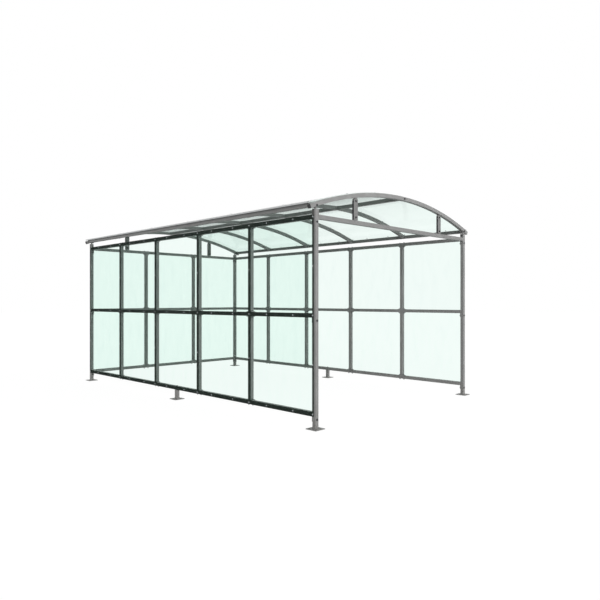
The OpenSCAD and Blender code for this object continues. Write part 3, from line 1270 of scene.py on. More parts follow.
@dataclass(frozen=True)
class Rails:
    """Wall rails, the front tie and the eaves beams: a tube between two end
    plates, each with an ear for one bolt."""

    plan: Plan
    tubing: Tubing
    plate_t: float = PLATE_T

    def rail(self, centre: Point, axis: Array, half: float, ear: Array) -> list[Shell]:
        """One rail.

        Args:
            centre: its middle.
            axis: unit vector along it.
            half: half its length over the end plates.
            ear: unit vector from the tube to the ears.

        Returns:
            The tube and both end plates.
        """
        centre = np.asarray(centre, float)
        h, inside = self.tubing.side / 2, half - self.plate_t
        shells = [self.tubing.length(centre - axis * inside, centre + axis * inside, ear)]
        across = np.abs(np.cross(axis, ear))
        for end in (-1, 1):
            first = centre + axis * end * inside - across * h - ear * h
            last = centre + axis * end * half + across * h + ear * (h + self.plan.ear)
            shells.append(slab_shell(first, last))
        return shells

    def strut_lugs(self, y: float) -> list[Shell]:
        """The lugs on top of a rail that the struts stand over.

        Args:
            y: the rail's axis.

        Returns:
            Two lugs and their welds.
        """
        plan = self.plan
        face = plan.top_z + self.tubing.side / 2
        low, high = face - self.tubing.wall / 2, plan.strut_foot + STRUT_LUG.reach
        sides = (-plan.strut_x, plan.strut_x)
        return [s for x in sides for s in STRUT_LUG.shells(x, y, low, high, face)]

    def build(self, material: Material, shaded_beam_material: Material) -> None:
        """Makes the nine wall rails, the front tie and both eaves beams.

        Args:
            material: the coat of the wall rails.
            shaded_beam_material: the coat of the tie and the eaves beams.
        """
        plan, h = self.plan, self.tubing.side / 2
        in_x, in_y = plan.half_x - h, plan.half_y - h
        rows = []
        for level, z in zip(("bottom", "mid", "top"), plan.levels):
            for side in Side:
                spot = (side.value * plan.half_x, 0, z)
                rows.append((f"{side}_{level}_rail", spot, AXIS_Y, in_y, -AXIS_Z))
            rows.append((f"back_{level}_rail", (0, plan.half_y, z), AXIS_X, in_x, -AXIS_Z))
        rows.append(("front_tie_beam", (0, -plan.half_y, plan.top_z), AXIS_X, in_x, AXIS_Z))
        for side in Side:
            spot = (side.value * plan.eaves_x, 0, plan.eaves_top - h)
            rows.append((f"eaves_beam_{side}", spot, AXIS_Y, in_y, -side.value * AXIS_X))
        for name, spot, axis, half, ear in rows:
            shells = self.rail(spot, axis, half, ear)
            if name in ("front_tie_beam", "back_top_rail"):
                shells += self.strut_lugs(spot[1])
            # the tie and the eaves beams take the darker coat, which is painted shade
            make_steel(name, shells, shaded_beam_material if "beam" in name else material)


@dataclass(frozen=True)
class Mullions:
    """Mullions between the rails: a tube with a flange welded on each end."""

    plan: Plan
    tubing: Tubing
    flange_len: float = 100 * MM
    flange_t: float = FLANGE_T
    weld: Weld = Weld(step=1.3 * MM)

    def mullion(self, z0: float, z1: float) -> Shell:
        """One mullion on the Z axis, its rail running along X.

        Formula: two flanges, a tube between them, and a bead where each of
        the tube's two faces across X meets each flange.

        Args:
            z0: height of its lower end.
            z1: height of its upper end.

        Returns:
            Its flanges, tube and welds.
        """
        h, half = self.tubing.side / 2, self.flange_len / 2
        low, high = z0 + self.flange_t, z1 - self.flange_t
        shells = [
            slab_shell((-half, -h, z0), (half, h, low)),
            self.tubing.length((0, 0, low), (0, 0, high), AXIS_Y),
            slab_shell((-half, -h, high), (half, h, z1)),
        ]
        reach = h - self.tubing.corner
        for z in (low, high):
            for x in (-h, h):
                shells.append(self.weld.straight((x, -reach, z), (x, reach, z)))
        return joined(shells)

    def build(self, material: Material) -> None:
        """Makes the six rows of mullions.

        Args:
            material: their coat.
        """
        plan, h = self.plan, self.tubing.side / 2
        for wall in plan.walls:
            places = wall.out * wall.reach + plan.along(wall.bays)[:, None] * wall.along
            frame = np.array([wall.along, np.cross(AXIS_Z, wall.along), AXIS_Z])
            frames = np.repeat(frame[None], len(places), 0)
            for row, z in (("lower", plan.low_z), ("upper", plan.mid_z)):
                one = self.mullion(z + h, z + plan.mid_z - plan.low_z - h)
                make_steel(f"{wall.name}_{row}_mullions", [one.repeated(places, frames)], material)


@dataclass(frozen=True)
class EndPlug:
    """Square plug for the end of a tube: its head's side and thickness, the
    bevel round the head, the shank that grips inside the tube, and how round
    its corners are, as a share of its side."""

    side: float = 43 * MM
    head: float = 4 * MM
    edge: float = 1.5 * MM
    shank: float = 18 * MM
    roundness: float = 0.07


@dataclass(frozen=True)
class RoofFrame:
    """Arches, ribs, purlin and struts."""

    plan: Plan
    tubing: Tubing
    plate_t: float = PLATE_T
    shoulder: float = 10 * MM
    shoulder_h: float = 25 * MM
    strip_t: float = 1.5 * MM
    strip_w: float = 23 * MM
    plug: EndPlug = EndPlug()
    weld: Weld = Weld()
    weld_from: float = 5 * MM

    def arch_lug(self, lug: Lug, x: float, y: float, upright_top: float) -> list[Shell]:
        """The lug that joins an upright to the arch.

        Args:
            lug: its kind.
            x: the upright's axis.
            y: the upright's axis.
            upright_top: height of the upright's top.

        Returns:
            The lug and its weld.
        """
        top = float(self.plan.under_z(x)) + self.tubing.wall
        return lug.shells(x, y, upright_top - lug.reach, top, self.plan.under_z)

    def rib_welds(self, y: float, plumb: float) -> list[Shell]:
        """The welds down both sides and under each end of a rib.

        Args:
            y: the rib's axis.
            plumb: x of its right-hand end.

        Returns:
            Six beads.
        """
        h, reach = self.tubing.side / 2, self.tubing.side / 2 - self.tubing.corner
        low = float(self.plan.under_z(plumb))
        start, end = low + self.weld_from, low + self.tubing.side - self.tubing.corner
        beads = []
        for x in (-plumb, plumb):
            beads.append(self.weld.straight((x, y - reach, low), (x, y + reach, low)))
            beads += [self.weld.straight((x, y + s, start), (x, y + s, end)) for s in (-h, h)]
        return beads

    def arches(self, material: Material) -> None:
        """Makes the two end arches and the ribs.

        Args:
            material: their coat.
        """
        plan = self.plan
        for end in End:
            y = end.value * plan.half_y
            shells = [self.tubing.bent(plan, y)]
            for side in Side:
                shells += self.arch_lug(POST_LUG, side.value * plan.half_x, y, plan.post_top)
                shells += self.arch_lug(STRUT_LUG, side.value * plan.strut_x, y, plan.strut_top)
            make_steel(f"{end}_arch", shells, material)
        plumb = plan.eaves_x - self.tubing.side / 2
        for i, y in enumerate(plan.along(plan.side_bays), 1):
            shells = [self.tubing.bent(plan, y, plumb)] + self.rib_welds(y, plumb)
            make_steel(f"roof_rib_{i}", shells, material)

    def purlin(self, material: Material) -> None:
        """Makes the ridge purlin in its lengths between the ribs, with an
        eared plate on each end length.

        Args:
            material: its coat.
        """
        plan, h, node = self.plan, self.tubing.side / 2, "ridge_purlin"
        z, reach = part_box(node)[1].z - h, h - self.tubing.corner
        ends = np.concatenate([[-plan.half_y], plan.along(plan.side_bays), [plan.half_y]])
        shells = []
        for i, (y0, y1) in enumerate(zip(ends[:-1], ends[1:])):
            first, last = i == 0, i == plan.side_bays - 1
            start, end = y0 + h + first * self.plate_t, y1 - h - last * self.plate_t
            shells.append(self.tubing.length((0, start, z), (0, end, z), AXIS_Z))
            for plate, y in ((first, start - self.plate_t), (last, end)):
                if plate:
                    far = (h + plan.ear, y + self.plate_t, z + h)
                    shells.append(slab_shell((-h, y, z - h), far))
            for welded, y in ((not first, start), (not last, end)):
                if welded:
                    shells.append(self.weld.straight((-reach, y, z - h), (reach, y, z - h)))
        make_steel(node, shells, material)

    def strut(self, y: float) -> Shell:
        """The strut on the right: its outline seen from the front, with a
        shoulder off each side of its sloping top, carried along Y.

        Formula: the top follows the arches' inner curve, a gap below it, and
        each shoulder starts its own height below that.

        Args:
            y: the strut's axis.

        Returns:
            The strut.
        """
        plan, half = self.plan, STRUT_W / 2
        inner = half - self.shoulder
        x = plan.strut_x + np.array([-half, half, half, inner, -inner, -half])
        drop = plan.strut_gap + self.shoulder_h * np.array([0, 0, 1, 0, 0, 1])
        z = plan.under_z(x) - drop
        z[:2] = plan.strut_foot
        ends = [np.stack([x, x * 0 + y + s * plan.strut_d / 2, z], -1) for s in (1, -1)]
        return bar_shell(np.stack(ends))

    def struts(self, material: Material) -> None:
        """Makes the struts over the front tie and the top back rail.

        Args:
            material: their coat.
        """
        for end in End:
            right = self.strut(end.value * self.plan.half_y)
            make_steel(f"{end}_struts", [right, right.mirrored(0)], material)

    def strut_shade_strips(self, material: Material) -> None:
        """Makes black strips up both sides of the struts, from the foot to the
        shoulder: painted shade, which stands in for the shade along the struts' sides.

        Args:
            material: their plastic.
        """
        plan, t, reach = self.plan, self.strip_t, self.strip_w / 2
        shells = []
        for s in (-1, 1):
            side = plan.strut_x + s * STRUT_W / 2
            top = float(plan.under_z(side)) - plan.strut_gap - self.shoulder_h
            low, high = (side, -reach, plan.strut_foot + t), (side + s * t, reach, top - t)
            shells.append(slab_shell(low, high))
        pair = joined(shells)
        both = joined([pair, pair.mirrored(0)])
        ends = [both.moved(AXIS_Y * end.value * plan.half_y) for end in End]
        make_piece("strut_side_shade_strips", ends, material, Softening.SMALL)

    def end_plugs(self, material: Material) -> None:
        """Makes the plugs pressed into the open ends of the end arches.

        Formula: a rounded square in the plane of the tube's end, carried
        outwards along the arch's tangent and drawn in at the outer face.

        Args:
            material: their plastic.
        """
        plan, plug = self.plan, self.plug
        axis = plan.arch_r - self.tubing.side / 2
        turn = np.arcsin(plan.arch_half / plan.arch_r)
        out = np.array([np.cos(turn), 0.0, -np.sin(turn)])
        radial = np.array([np.sin(turn), 0.0, np.cos(turn)])
        start = radial * axis + AXIS_Z * plan.arch_cz
        path = start + np.outer([-plug.shank, 0.0, 0.0, plug.head - plug.edge, plug.head], out)
        hollow = self.tubing.side - 2 * self.tubing.wall
        side = np.array([hollow, hollow, plug.side, plug.side, plug.side - 2 * plug.edge])
        loop = rounded_loop(1.0, 1.0, plug.roundness, 4)
        flat = loop[None, :, :1] * np.cross(radial, out) + loop[None, :, 1:] * radial
        right = bar_shell(path[:, None] + side[:, None, None] * flat)
        ends = [right.moved(AXIS_Y * end.value * plan.half_y) for end in End]
        shells = ends + [end.mirrored(0) for end in ends]
        make_piece("arch_end_plugs", shells, material, Softening.SMALL)

    def build(self, material: Material, shaded_strut_material: Material, plastic: Material) -> None:
        """Makes the whole roof frame.

        Args:
            material: the coat of the arches, ribs and purlin.
            shaded_strut_material: the coat of the struts.
            plastic: the plastic of strips and plugs.
        """
        self.arches(material)
        self.purlin(material)
        # the struts take the darker coat, which is painted shade
        self.struts(shaded_strut_material)
        # black strips on the struts' sides: painted shade
        self.strut_shade_strips(plastic)
        self.end_plugs(plastic)


# ---------------------------------------------------------------- skin


@dataclass(frozen=True)
class RoofSkin:
    """The clear roof sheets and the aluminium trim on their eaves edges."""

    plan: Plan
    gap: float = 4 * MM
    curve_steps: int = 73
    trim_wrap: float = 14 * MM
    trim_t: float = 1.5 * MM
    gasket: float = 5 * MM
    gasket_back: float = 1 * MM

    def outline(self) -> tuple[Array, Array]:
        """The sheet's underside from edge to edge.

        Formula: round the arch's own circle up to the angle where the tangent
        reaches the eaves beam's outer top edge, then straight on along that
        tangent to the sheet's edge.

        Returns:
            Points as rows of x and z, and the unit normal at each.
        """
        plan = self.plan
        bear_x = plan.eaves_x + plan.tube / 2
        bear = np.array([bear_x, plan.eaves_top - plan.arch_cz])
        bear_r = np.linalg.norm(bear)
        lean = np.arcsin(bear_x / bear_r) - np.arccos(plan.arch_r / bear_r)
        angle = np.linspace(-lean, lean, self.curve_steps)
        normal = np.stack([np.sin(angle), np.cos(angle)], -1)
        curve = plan.arch_r * normal
        run = (plan.arch_half - curve[-1, 0]) / np.cos(lean)
        tip = curve[-1] + run * np.array([np.cos(lean), -np.sin(lean)])
        curve = np.concatenate([[tip * [-1, 1]], curve, [tip]])
        normal = np.concatenate([normal[:1], normal, normal[-1:]])
        return curve + [0, plan.arch_cz], normal

    def sheet(self, y: float) -> Shell:
        """One bay of sheet: its cross-section carried along the outline, with
        the profile's first axis along Y and its second along the normal.

        Args:
            y: the middle of the bay.

        Returns:
            The sheet.
        """
        line, normal = self.outline()
        width = self.plan.bay - self.gap
        loop = np.array([[0.5, 1], [-0.5, 1], [-0.5, 0], [0.5, 0]]) * [width, self.plan.roof_t]
        path = np.stack([line[:, 0], np.full(len(line), y), line[:, 1]], -1)
        up = np.stack([normal[:, 0], 0 * line[:, 0], normal[:, 1]], -1)
        side = np.repeat(AXIS_Y[None], len(line), 0)
        return bar_shell(carried(loop, path, side, up))

    def dress_edges(self, sheet: bpy.types.Object, material: Material) -> None:
        """Gives the sawn faces of a sheet, those that face along Y, their own
        finish.

        Args:
            sheet: the sheet's object.
            material: the finish.
        """
        sheet.data.materials.append(material)
        faces = sheet.data.polygons
        normals = np.empty(3 * len(faces), np.float32)
        faces.foreach_get("normal", normals)
        sawn = np.abs(normals.reshape(-1, 3)[:, 1]) > 0.7
        faces.foreach_set("material_index", sawn.astype(np.int32))

    def eaves_section(self, corners: Sequence[Point], y: float, side: Side) -> Shell:
        """A profile carried along one eaves edge of a sheet.

        Formula: point = sheet's lower tip + first coordinate outwards along
        the sheet + second coordinate along its normal, at both ends of Y.

        Args:
            corners: the profile, one point a row.
            y: the middle of the sheet's bay.
            side: the eaves.

        Returns:
            The strip.
        """
        line, normal = self.outline()
        tip, inside = line[-1], line[-2]
        along = (tip - inside) / np.linalg.norm(tip - inside)
        corners = np.asarray(corners, float)
        flat = tip + corners[:, :1] * along + corners[:, 1:] * normal[-1]
        flat[:, 0] *= side.value
        if side is Side.RIGHT:
            flat = flat[::-1]
        half = (self.plan.bay - self.gap) / 2
        ends = [np.insert(flat, 1, y + s, axis=1) for s in (-half, half)]
        return bar_shell(np.stack(ends))

    def trim(self, y: float, side: Side) -> Shell:
        """The channel pressed over one eaves edge of a sheet.

        Args:
            y: the middle of the sheet's bay.
            side: the eaves.

        Returns:
            The channel.
        """
        t, wrap = self.trim_t, self.trim_wrap
        lip = self.plan.roof_t + self.gasket
        lower = [(0, lip), (0, 0), (-wrap, 0)]
        upper = [(-wrap, -t), (t, -t), (t, lip + t), (-wrap, lip + t), (-wrap, lip)]
        return self.eaves_section(upper + lower, y, side)

    def trim_gasket(self, y: float, side: Side) -> Shell:
        """The rubber strip between a sheet and its channel's upper lip.

        Args:
            y: the middle of the sheet's bay.
            side: the eaves.

        Returns:
            The strip.
        """
        thick, wrap = self.plan.roof_t, self.trim_wrap - self.gasket_back
        top = thick + self.gasket
        return self.eaves_section([(-wrap, thick), (0, thick), (0, top), (-wrap, top)], y, side)

    def build(self, clear: Material, edge: Material, trim: Material, rubber: Material) -> None:
        """Makes the sheets, their trims and the strips under the trims.

        Args:
            clear: the finish of the sheets.
            edge: the finish of their sawn edges.
            trim: the finish of the channels.
            rubber: the finish of the strips.
        """
        middles = self.plan.middles
        soft = Softening.SMALL
        for i, y in enumerate(middles, 1):
            node = f"roof_sheet_{i}"
            sheet = make_piece(f"{node}_bent", [self.sheet(y)], clear, soft, node)
            self.dress_edges(sheet, edge)
        for side in Side:
            shells = [self.trim(y, side) for y in middles]
            make_piece(f"eaves_trim_{side}", shells, trim, soft)
            shells = [self.trim_gasket(y, side) for y in middles]
            make_piece(f"eaves_trim_gasket_{side}", shells, rubber, Softening.NONE)


# ---------------------------------------------------------------- fasteners


@dataclass(frozen=True)
class Bolt:
    """One size of hexagon bolt with its washer, nut and cap: the shank's
    width, the width across the flats, the heights of head and nut, and the
    washer's width and thickness. Both rims of the hexagons are turned off, to
    a share of their width over a share of their height."""

    shank: float
    flats: float
    head: float
    nut: float
    washer: float
    washer_t: float
    washer_rim: float = 0.3 * MM
    top_share: float = 0.93
    seat_share: float = 0.95
    head_rim: float = 0.14
    nut_rim: float = 0.12
    end: float = 6 * MM
    end_bevel: float = 1 * MM
    cap_wall: float = 1 * MM
    cap_flange: float = 2 * MM
    cap_room: float = 3 * MM
    cap_edge: float = 1.2 * MM
    sides: int = 24

    def washer_shell(self) -> Shell:
        """A flat washer on the surface, its rims rounded off."""
        r, t, edge = self.washer / 2, self.washer_t, self.washer_rim
        return turned_shell([[r - edge, 0], [r, edge], [r, t - edge], [r - edge, t]], 20)

    def head_shell(self) -> Shell:
        """A washer and a hexagon head.

        Formula: rows of radius and height turned about Z, with the hexagon's
        factor on the radius where the flats are.

        Returns:
            Both as one shell.
        """
        r, t, h = self.flats / 2, self.washer_t, self.head
        rows = [[r, t, 1], [r, t + h - self.head_rim * h, 1], [self.top_share * r, t + h, 0]]
        return joined([self.washer_shell(), turned_shell(rows, self.sides, hexagon)])

    def cap_shell(self) -> Shell:
        """A hexagonal cap over the nut or head.

        Formula: as for the head, with a round flange below the flats and half
        of the hexagon's factor where the domed end begins.

        Returns:
            A flange, six sides and a domed end.
        """
        r, h, edge = self.flats / 2 + self.cap_wall, self.head + self.cap_room, self.cap_edge
        wide = r + self.cap_flange
        rows = [[wide, 0, 0], [wide, edge, 0], [r, edge, 1], [r, h - edge, 1]]
        rows += [[r - edge, h, 0.5], [0.4 * r, h + edge, 0]]
        return turned_shell(rows, self.sides, hexagon)

    def nut_shell(self) -> Shell:
        """A washer, a nut and the bolt's end.

        Formula: as for the head, and rows of the bolt's end without a factor.

        Returns:
            All three as one shell.
        """
        r, t, h, core = self.flats / 2, self.washer_t, self.nut, self.shank / 2
        rim, tip = self.nut_rim * h, t + h + self.end
        rows = [[self.seat_share * r, t, 0], [r, t + rim, 1]]
        rows += [[r, t + h - rim, 1], [self.top_share * r, t + h, 0]]
        nut = turned_shell(rows, self.sides, hexagon)
        rows = [[core, t + 0.5 * h], [core, tip - self.end_bevel], [0.8 * core, tip]]
        return joined([self.washer_shell(), nut, turned_shell(rows, 16)])


M10 = Bolt(10 * MM, 16 * MM, 6.4 * MM, 8.4 * MM, 20 * MM, 2 * MM)


@dataclass(frozen=True)
class SheetScrew:
    """Domed self-drilling screw that holds a sheet: a rubber washer under a
    domed head, whose recess is given as shares of its radius and height."""

    head: float = 16 * MM
    height: float = 4.2 * MM
    rim: float = 0.5 * MM
    dome: float = 0.8
    climb: tuple[float, ...] = (0.0, 22.0, 45.0, 66.0)
    recess: tuple[Point, Point] = ((0.24, 0.92), (0.16, 0.55))
    rubber_t: float = 1.2 * MM
    bulge: float = 0.6 * MM
    lip: float = 0.1 * MM
    sides: int = 14

    def dome_shell(self) -> Shell:
        """The domed head.

        Formula: radius = r cos a and height = rim + dome share * h sin a,
        where a climbs to the edge of the recess, which dips at the middle.

        Returns:
            The head, standing on its rubber washer.
        """
        r, base, h = self.head / 2, self.rubber_t, self.height
        climb = np.radians(self.climb)
        rise = base + self.rim + h * self.dome * np.sin(climb)
        rows = np.stack([r * np.cos(climb), rise], -1)
        dip = np.array(self.recess) * [r, h] + [0.0, base]
        return turned_shell(np.concatenate([[[r, base]], rows, dip]), self.sides)

    def rubber_shell(self) -> Shell:
        """The rubber washer, squeezed out a little past the head."""
        r, t = self.head / 2, self.rubber_t
        return turned_shell([[r, 0], [r + self.bulge, t / 2], [r, t + self.lip]], self.sides)


@dataclass(frozen=True)
class Fastenings:
    """All the bolts, nuts and screws of the shelter, placed in groups: how
    far apart and how far in from the edges they stand, and where the roof's
    screws stand between the beams, as shares of a bay or of half the width."""

    plan: Plan
    plate_t: float = PLATE_T
    flange_t: float = FLANGE_T
    flange_pitch: float = 72 * MM
    wall_inset: float = 11 * MM
    wall_share: float = 0.295
    roof_inset: float = 9 * MM
    roof_share: float = 0.205
    roof_stations: tuple[float, float] = (0.66, 0.33)
    wall_screw: SheetScrew = SheetScrew()
    roof_screw: SheetScrew = SheetScrew(head=18 * MM)
    spins: np.random.Generator = field(default_factory=lambda: np.random.default_rng(SPIN_SEED))

    def group(
        self, name: str, shell: Shell, rows: list[Row], material: Material
    ) -> None:
        """Makes one object of a fastener repeated at many places.

        Args:
            name: the object's name.
            shell: the fastener, standing on the origin along +Z.
            rows: where each one stands, and which way it points.
            material: its finish.
        """
        places = np.array([place for place, _ in rows], float)
        spins = self.spins.uniform(0, 2 * np.pi, len(rows))
        bases = facing([way for _, way in rows], spins)
        make_piece(name, [shell.repeated(places, bases)], material, Softening.NONE)

    def rail_bolts(self, material: Material, plastic: Material) -> None:
        """Makes the bolts through the ears of rails, tie, beams and purlin.

        Args:
            material: the finish of the nuts.
            plastic: the plastic of the caps on the heads.
        """
        plan, h, t = self.plan, self.plan.tube / 2, self.plate_t
        face = plan.half_y - h
        purlin_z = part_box("ridge_purlin")[1].z - h
        heads, nuts = [], []
        for sx in (-1, 1):
            inner = sx * (plan.half_x - h - t)
            for z in plan.levels:
                x, low = sx * plan.half_x, z - plan.ear
                heads.append(((x, -plan.half_y - h, low), -AXIS_Y))
                nuts.append(((x, -face + t, low), AXIS_Y))
                heads.append(((x, face - t, low), -AXIS_Y))
                heads.append(((inner, plan.half_y, low), -sx * AXIS_X))
            heads.append(((inner, -plan.half_y, plan.top_z + plan.ear), -sx * AXIS_X))
            x, z = sx * (plan.eaves_x - plan.ear), plan.eaves_top - h
            for sy in (-1, 1):
                heads.append(((x, sy * (plan.half_y + h), z), sy * AXIS_Y))
                nuts.append(((x, sy * (face - t), z), -sy * AXIS_Y))
        for sy in (-1, 1):
            heads.append(((plan.ear, sy * (plan.half_y + h), purlin_z), sy * AXIS_Y))
            nuts.append(((plan.ear, sy * (face - t), purlin_z), -sy * AXIS_Y))
        self.group("joint_bolt_caps", M10.cap_shell(), heads, plastic)
        self.group("joint_bolt_nuts", M10.nut_shell(), nuts, material)

    def flange_bolts(self, material: Material) -> None:
        """Makes the bolts through the rails at the mullion flanges and over
        the legs.

        Args:
            material: their finish.
        """
        plan, h, t = self.plan, self.plan.tube / 2, self.flange_t
        low, mid, top = plan.levels
        over = (low + h + t, mid + h + t, top + h)
        under = (low - h, mid - h - t, top - h - t)
        heads, nuts = [], []
        for wall in plan.walls:
            for place in plan.along(wall.bays):
                for s in (-1, 1):
                    run = place + s * self.flange_pitch / 2
                    spot = wall.out * wall.reach + wall.along * run
                    heads += [(spot + AXIS_Z * z, AXIS_Z) for z in over]
                    nuts += [(spot + AXIS_Z * z, -AXIS_Z) for z in under]
        heads += [((side.value * plan.half_x, 0, low + h), AXIS_Z) for side in Side]
        self.group("flange_bolt_heads", M10.head_shell(), heads, material)
        self.group("flange_bolt_nuts", M10.nut_shell(), nuts, material)

    def strut_bolts(self, plastic: Material) -> None:
        """Makes the capped bolts through the struts and the lugs inside them.

        Args:
            plastic: the plastic of the caps.
        """
        plan, reach = self.plan, STRUT_LUG.reach / 2
        rows = []
        for side in Side:
            for z in (plan.strut_foot + reach, plan.strut_top - reach):
                for sy in (-1, 1):
                    for s in (-1, 1):
                        y = sy * (plan.half_y + s * plan.strut_d / 2)
                        rows.append(((side.value * plan.strut_x, y, z), sy * s * AXIS_Y))
        self.group("strut_bolt_caps", M10.cap_shell(), rows, plastic)

    def screws(
        self,
        names: tuple[str, str],
        screw: SheetScrew,
        rows: list[Row],
        metal: Material,
        rubber: Material,
    ) -> None:
        """Makes a group of screw heads and the group of their washers.

        Args:
            names: the names of the two groups.
            screw: their kind.
            rows: where each one stands, and which way it points.
            metal: the finish of the heads.
            rubber: the finish of the washers.
        """
        self.group(names[0], screw.dome_shell(), rows, metal)
        self.group(names[1], screw.rubber_shell(), rows, rubber)

    def wall_screws(self, metal: Material, rubber: Material) -> None:
        """Makes the screws of the wall sheets: on every rail one at each
        upright and two between, and one at mid-height of every upright.

        Args:
            metal: the finish of the heads.
            rubber: the finish of the washers.
        """
        plan, share = self.plan, np.array([self.wall_share, 1 - self.wall_share])
        low, mid, top = plan.levels
        for wall in plan.walls:
            half = wall.bays * plan.bay / 2 - self.wall_inset
            uprights = np.concatenate([[-half], plan.along(wall.bays), [half]])
            starts = (np.arange(wall.bays) - wall.bays / 2) * plan.bay
            between = (starts[:, None] + plan.bay * share).ravel()
            spots = [(s, z) for z in plan.levels for s in (*uprights, *between)]
            spots += [(s, z) for z in ((low + mid) / 2, (mid + top) / 2) for s in uprights]
            face = wall.out * wall.face
            rows = [(face + wall.along * s + AXIS_Z * z, wall.out) for s, z in spots]
            names = (f"{wall.name}_sheet_screws", f"{wall.name}_screw_washers")
            self.screws(names, self.wall_screw, rows, metal, rubber)

    def roof_screws(self, skin: RoofSkin, metal: Material, rubber: Material) -> None:
        """Makes the screws of the roof sheets: four to a sheet on each eaves
        beam and on the purlin, and two on the ribs at each station between.

        Args:
            skin: the roof sheets.
            metal: the finish of the heads.
            rubber: the finish of the washers.
        """
        plan = self.plan
        line, normal = skin.outline()
        top = line + normal * plan.roof_t
        edge, inner = (plan.bay - skin.gap) / 2 - self.roof_inset, self.roof_share * plan.bay
        across = (plan.eaves_x, *(share * plan.half_x for share in self.roof_stations))
        rows = []
        for x in (*(s * x for x in across for s in (-1, 1)), 0.0):
            z = np.interp(x, top[:, 0], top[:, 1])
            nx, nz = (np.interp(x, top[:, 0], normal[:, i]) for i in (0, 1))
            on_beam = x == 0.0 or abs(x) > plan.half_x
            spots = (-edge, edge, -inner, inner) if on_beam else (-edge, edge)
            rows += [((x, y + s, z), (nx, 0, nz)) for y in plan.middles for s in spots]
        self.screws(("roof_screws", "roof_screw_washers"), self.roof_screw, rows, metal, rubber)

    def build(
        self, skin: RoofSkin, dull: Material, bright: Material, rubber: Material, plastic: Material
    ) -> None:
        """Makes every group of fasteners.

        Args:
            skin: the roof sheets.
            dull: the finish of bolts and nuts.
            bright: the finish of screws.
            rubber: the finish of the screws' washers.
            plastic: the plastic of the bolts' caps.
        """
        self.rail_bolts(dull, plastic)
        self.flange_bolts(dull)
        self.strut_bolts(plastic)
        self.wall_screws(bright, rubber)
        self.roof_screws(skin, bright, rubber)


# ---------------------------------------------------------------- studio


def seen_white(tree: Tree) -> Socket:
    """The share of a plain white look that a ray gets.

    Args:
        tree: the node tree.

    Returns:
        One for rays straight from the camera or by way of gloss or clear
        sheet, and nought for rays that gather light.
    """
    path = add_node(tree, "ShaderNodeLightPath").outputs
    seen = path["Is Camera Ray"]
    for kind in ("Is Glossy Ray", "Is Transmission Ray"):
        rays = {0: seen, 1: path[kind]}
        seen = add_node(tree, "ShaderNodeMath", rays, operation="MAXIMUM").outputs[0]
    depth = {0: path["Diffuse Depth"], 1: 0.5}
    first = add_node(tree, "ShaderNodeMath", depth, operation="LESS_THAN").outputs[0]
    both = {0: seen, 1: first}
    return add_node(tree, "ShaderNodeMath", both, operation="MULTIPLY").outputs[0]


@dataclass(frozen=True)
class FloorPaint(Finish):
    """Matt white floor paint, rolled on. Other pieces get the light that the
    paint scatters. The eye gets mostly a white glow, so that the floor is
    white and only a faint shadow shows."""

    name: str = "floor_white_paint"
    paint: str = "#D2D2D2"
    glow_share: float = 0.90
    glow: float = 1.08
    cloudy: float = 800 * MM
    palest: float = 0.985

    def shader(self, tree: Tree, place: Socket) -> Socket:
        """Adds the paint's nodes.

        Args:
            tree: the node tree.
            place: object coordinates.

        Returns:
            The shader.
        """
        tone = patches(tree, place, self.cloudy, (0.3, 0.7), ends=(self.palest, 1.0))
        grey = add_node(tree, "ShaderNodeCombineColor", {0: tone, 1: tone, 2: tone}).outputs[0]
        paint = add_node(tree, "ShaderNodeBsdfDiffuse", {0: linear(self.paint)}).outputs[0]
        shaded = add_node(tree, "ShaderNodeBsdfDiffuse", {0: grey}).outputs[0]
        glow = add_node(tree, "ShaderNodeEmission", {0: linear(WHITE), 1: self.glow}).outputs[0]
        parts = {0: self.glow_share, 1: shaded, 2: glow}
        look = add_node(tree, "ShaderNodeMixShader", parts).outputs[0]
        parts = {0: seen_white(tree), 1: paint, 2: look}
        return add_node(tree, "ShaderNodeMixShader", parts).outputs[0]


@dataclass(frozen=True)
class Lamp:
    """One soft sun: where its light comes from, how strong it is on a face
    that meets it square, and how wide its disc is in degrees."""

    name: str
    source: tuple[float, float, float]
    level: float
    width: float

    def build(self) -> None:
        """Makes the lamp, turned from its source towards the shelter."""
        data = bpy.data.lights.new(self.name, "SUN")
        data.energy = self.level * np.pi
        data.angle = np.radians(self.width)
        lamp = bpy.data.objects.new(self.name, data)
        x, y, z = self.source
        tip = np.pi / 2 - np.arctan2(z, np.hypot(x, y))
        lamp.rotation_euler = (tip, 0.0, np.arctan2(x, -y))
        bpy.context.scene.collection.objects.link(lamp)


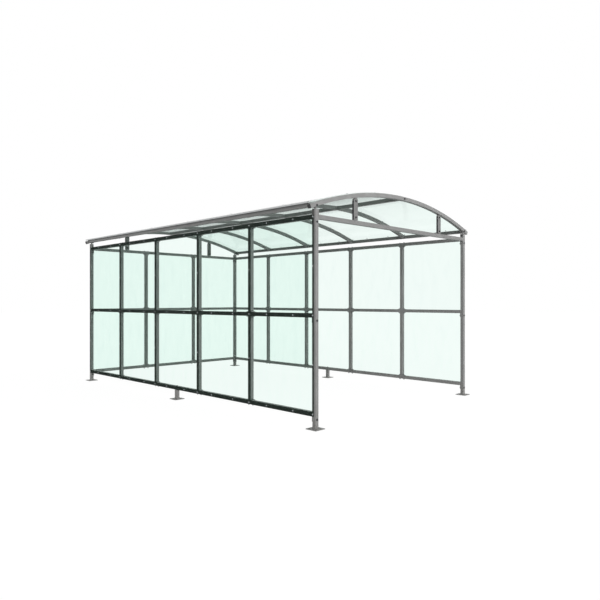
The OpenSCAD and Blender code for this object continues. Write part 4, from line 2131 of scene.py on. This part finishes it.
@dataclass(frozen=True)
class Studio:
    """Camera, white floor, soft lamps and a white surround."""

    eye: tuple[float, float, float] = (-5.688, -6.389, 1.2957)
    heading: float = 44.957
    lens: float = 33.862
    sensor: float = 36.0
    aside: float = 0.00982
    rise: float = 0.00207
    sight: float = 200.0
    sky: float = 0.133
    floor_reach: float = 60.0
    lamps: tuple[Lamp, ...] = (
        Lamp("key_lamp", (-1.0, -1.0, 0.15), 0.81, 55.0),
        Lamp("fill_lamp", (0.65, -1.0, 0.50), 0.36, 55.0),
    )

    def camera(self) -> None:
        """Makes the camera, level, a little above the mid rails."""
        data = bpy.data.cameras.new("camera")
        data.sensor_width = self.sensor
        data.lens = self.lens
        data.shift_x = self.aside
        data.shift_y = self.rise
        data.clip_end = self.sight
        camera = bpy.data.objects.new("camera", data)
        camera.location = self.eye
        camera.rotation_euler = (np.pi / 2, 0.0, -np.radians(self.heading))
        bpy.context.scene.collection.objects.link(camera)
        bpy.context.scene.camera = camera

    def world(self) -> None:
        """Makes the surround: an even sky that lights the shelter, seen as
        plain white."""
        world = bpy.data.worlds.new("surround")
        bpy.context.scene.world = world
        world.use_nodes = True
        tree = world.node_tree
        tree.nodes.clear()
        sky, white = (
            add_node(tree, "ShaderNodeBackground", {0: linear(WHITE), 1: level}).outputs[0]
            for level in (self.sky, 1.0)
        )
        parts = {0: seen_white(tree), 1: sky, 2: white}
        look = add_node(tree, "ShaderNodeMixShader", parts).outputs[0]
        add_node(tree, "ShaderNodeOutputWorld", {0: look})

    def floor(self) -> None:
        """Makes the floor, one flat square."""
        mesh = bpy.data.meshes.new("floor")
        corners = np.array([[-1, -1], [1, -1], [1, 1], [-1, 1]]) * self.floor_reach
        points = np.pad(corners, ((0, 0), (0, 1)))
        mesh.from_pydata(points.tolist(), [], [(0, 1, 2, 3)])
        mesh.materials.append(FloorPaint().material())
        floor = bpy.data.objects.new("floor", mesh)
        bpy.context.scene.collection.objects.link(floor)

    def build(self) -> None:
        """Makes the whole studio."""
        bpy.context.scene.view_settings.view_transform = "Standard"
        self.camera()
        self.world()
        self.floor()
        for lamp in self.lamps:
            lamp.build()
            LOG.info("%s: level %.2f", lamp.name, lamp.level)


# ---------------------------------------------------------------- assembly


def dress_node(node: bpy.types.Object, material: Material) -> None:
    """Gives a CAD node its finish.

    Args:
        node: the node's object.
        material: the finish.
    """
    node.data.materials.clear()
    node.data.materials.append(material)
    faces = node.data.polygons
    faces.foreach_set("material_index", np.zeros(len(faces), np.int32))
    LOG.info("%s: %s", node.name, material.name)


def main() -> None:
    """Builds the studio, the frame, the skin and the fasteners in order."""
    logging.basicConfig(level=logging.INFO, format="%(name)s %(message)s")
    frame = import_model()
    Studio().build()
    plan = Plan.from_cad(frame["nodes"])
    LOG.info("plan: %s", plan)
    steel, tape = PowderCoat().material(), GlazingTapeAndShade().material()
    clear = ClearSheet().material()
    bright, dull = BRIGHT_ZINC.material(), DULL_ZINC.material()
    trim, plastic = MILL_ALUMINIUM.material(), MouldedPlastic().material()
    tubing = Tubing(plan.tube)
    Uprights(plan, tubing).build(steel)
    Rails(plan, tubing).build(steel, SHADED_BEAM_COAT.material())
    Mullions(plan, tubing).build(steel)
    RoofFrame(plan, tubing).build(steel, SHADED_STRUT_COAT.material(), plastic)
    skin = RoofSkin(plan)
    skin.build(ROOF_SHEET.material(), SawnEdge().material(), trim, tape)
    for name, node in frame["nodes"].items():
        # the tape nodes behind the sheets: real tape, and partly painted shade of the sheets
        if name.endswith("_glazing_tape"):
            dress_node(node, tape)
        elif name.endswith("_wall_sheets"):
            dress_node(node, clear)
    Fastenings(plan).build(skin, dull, bright, tape, plastic)


if __name__ == "__main__":
    main()
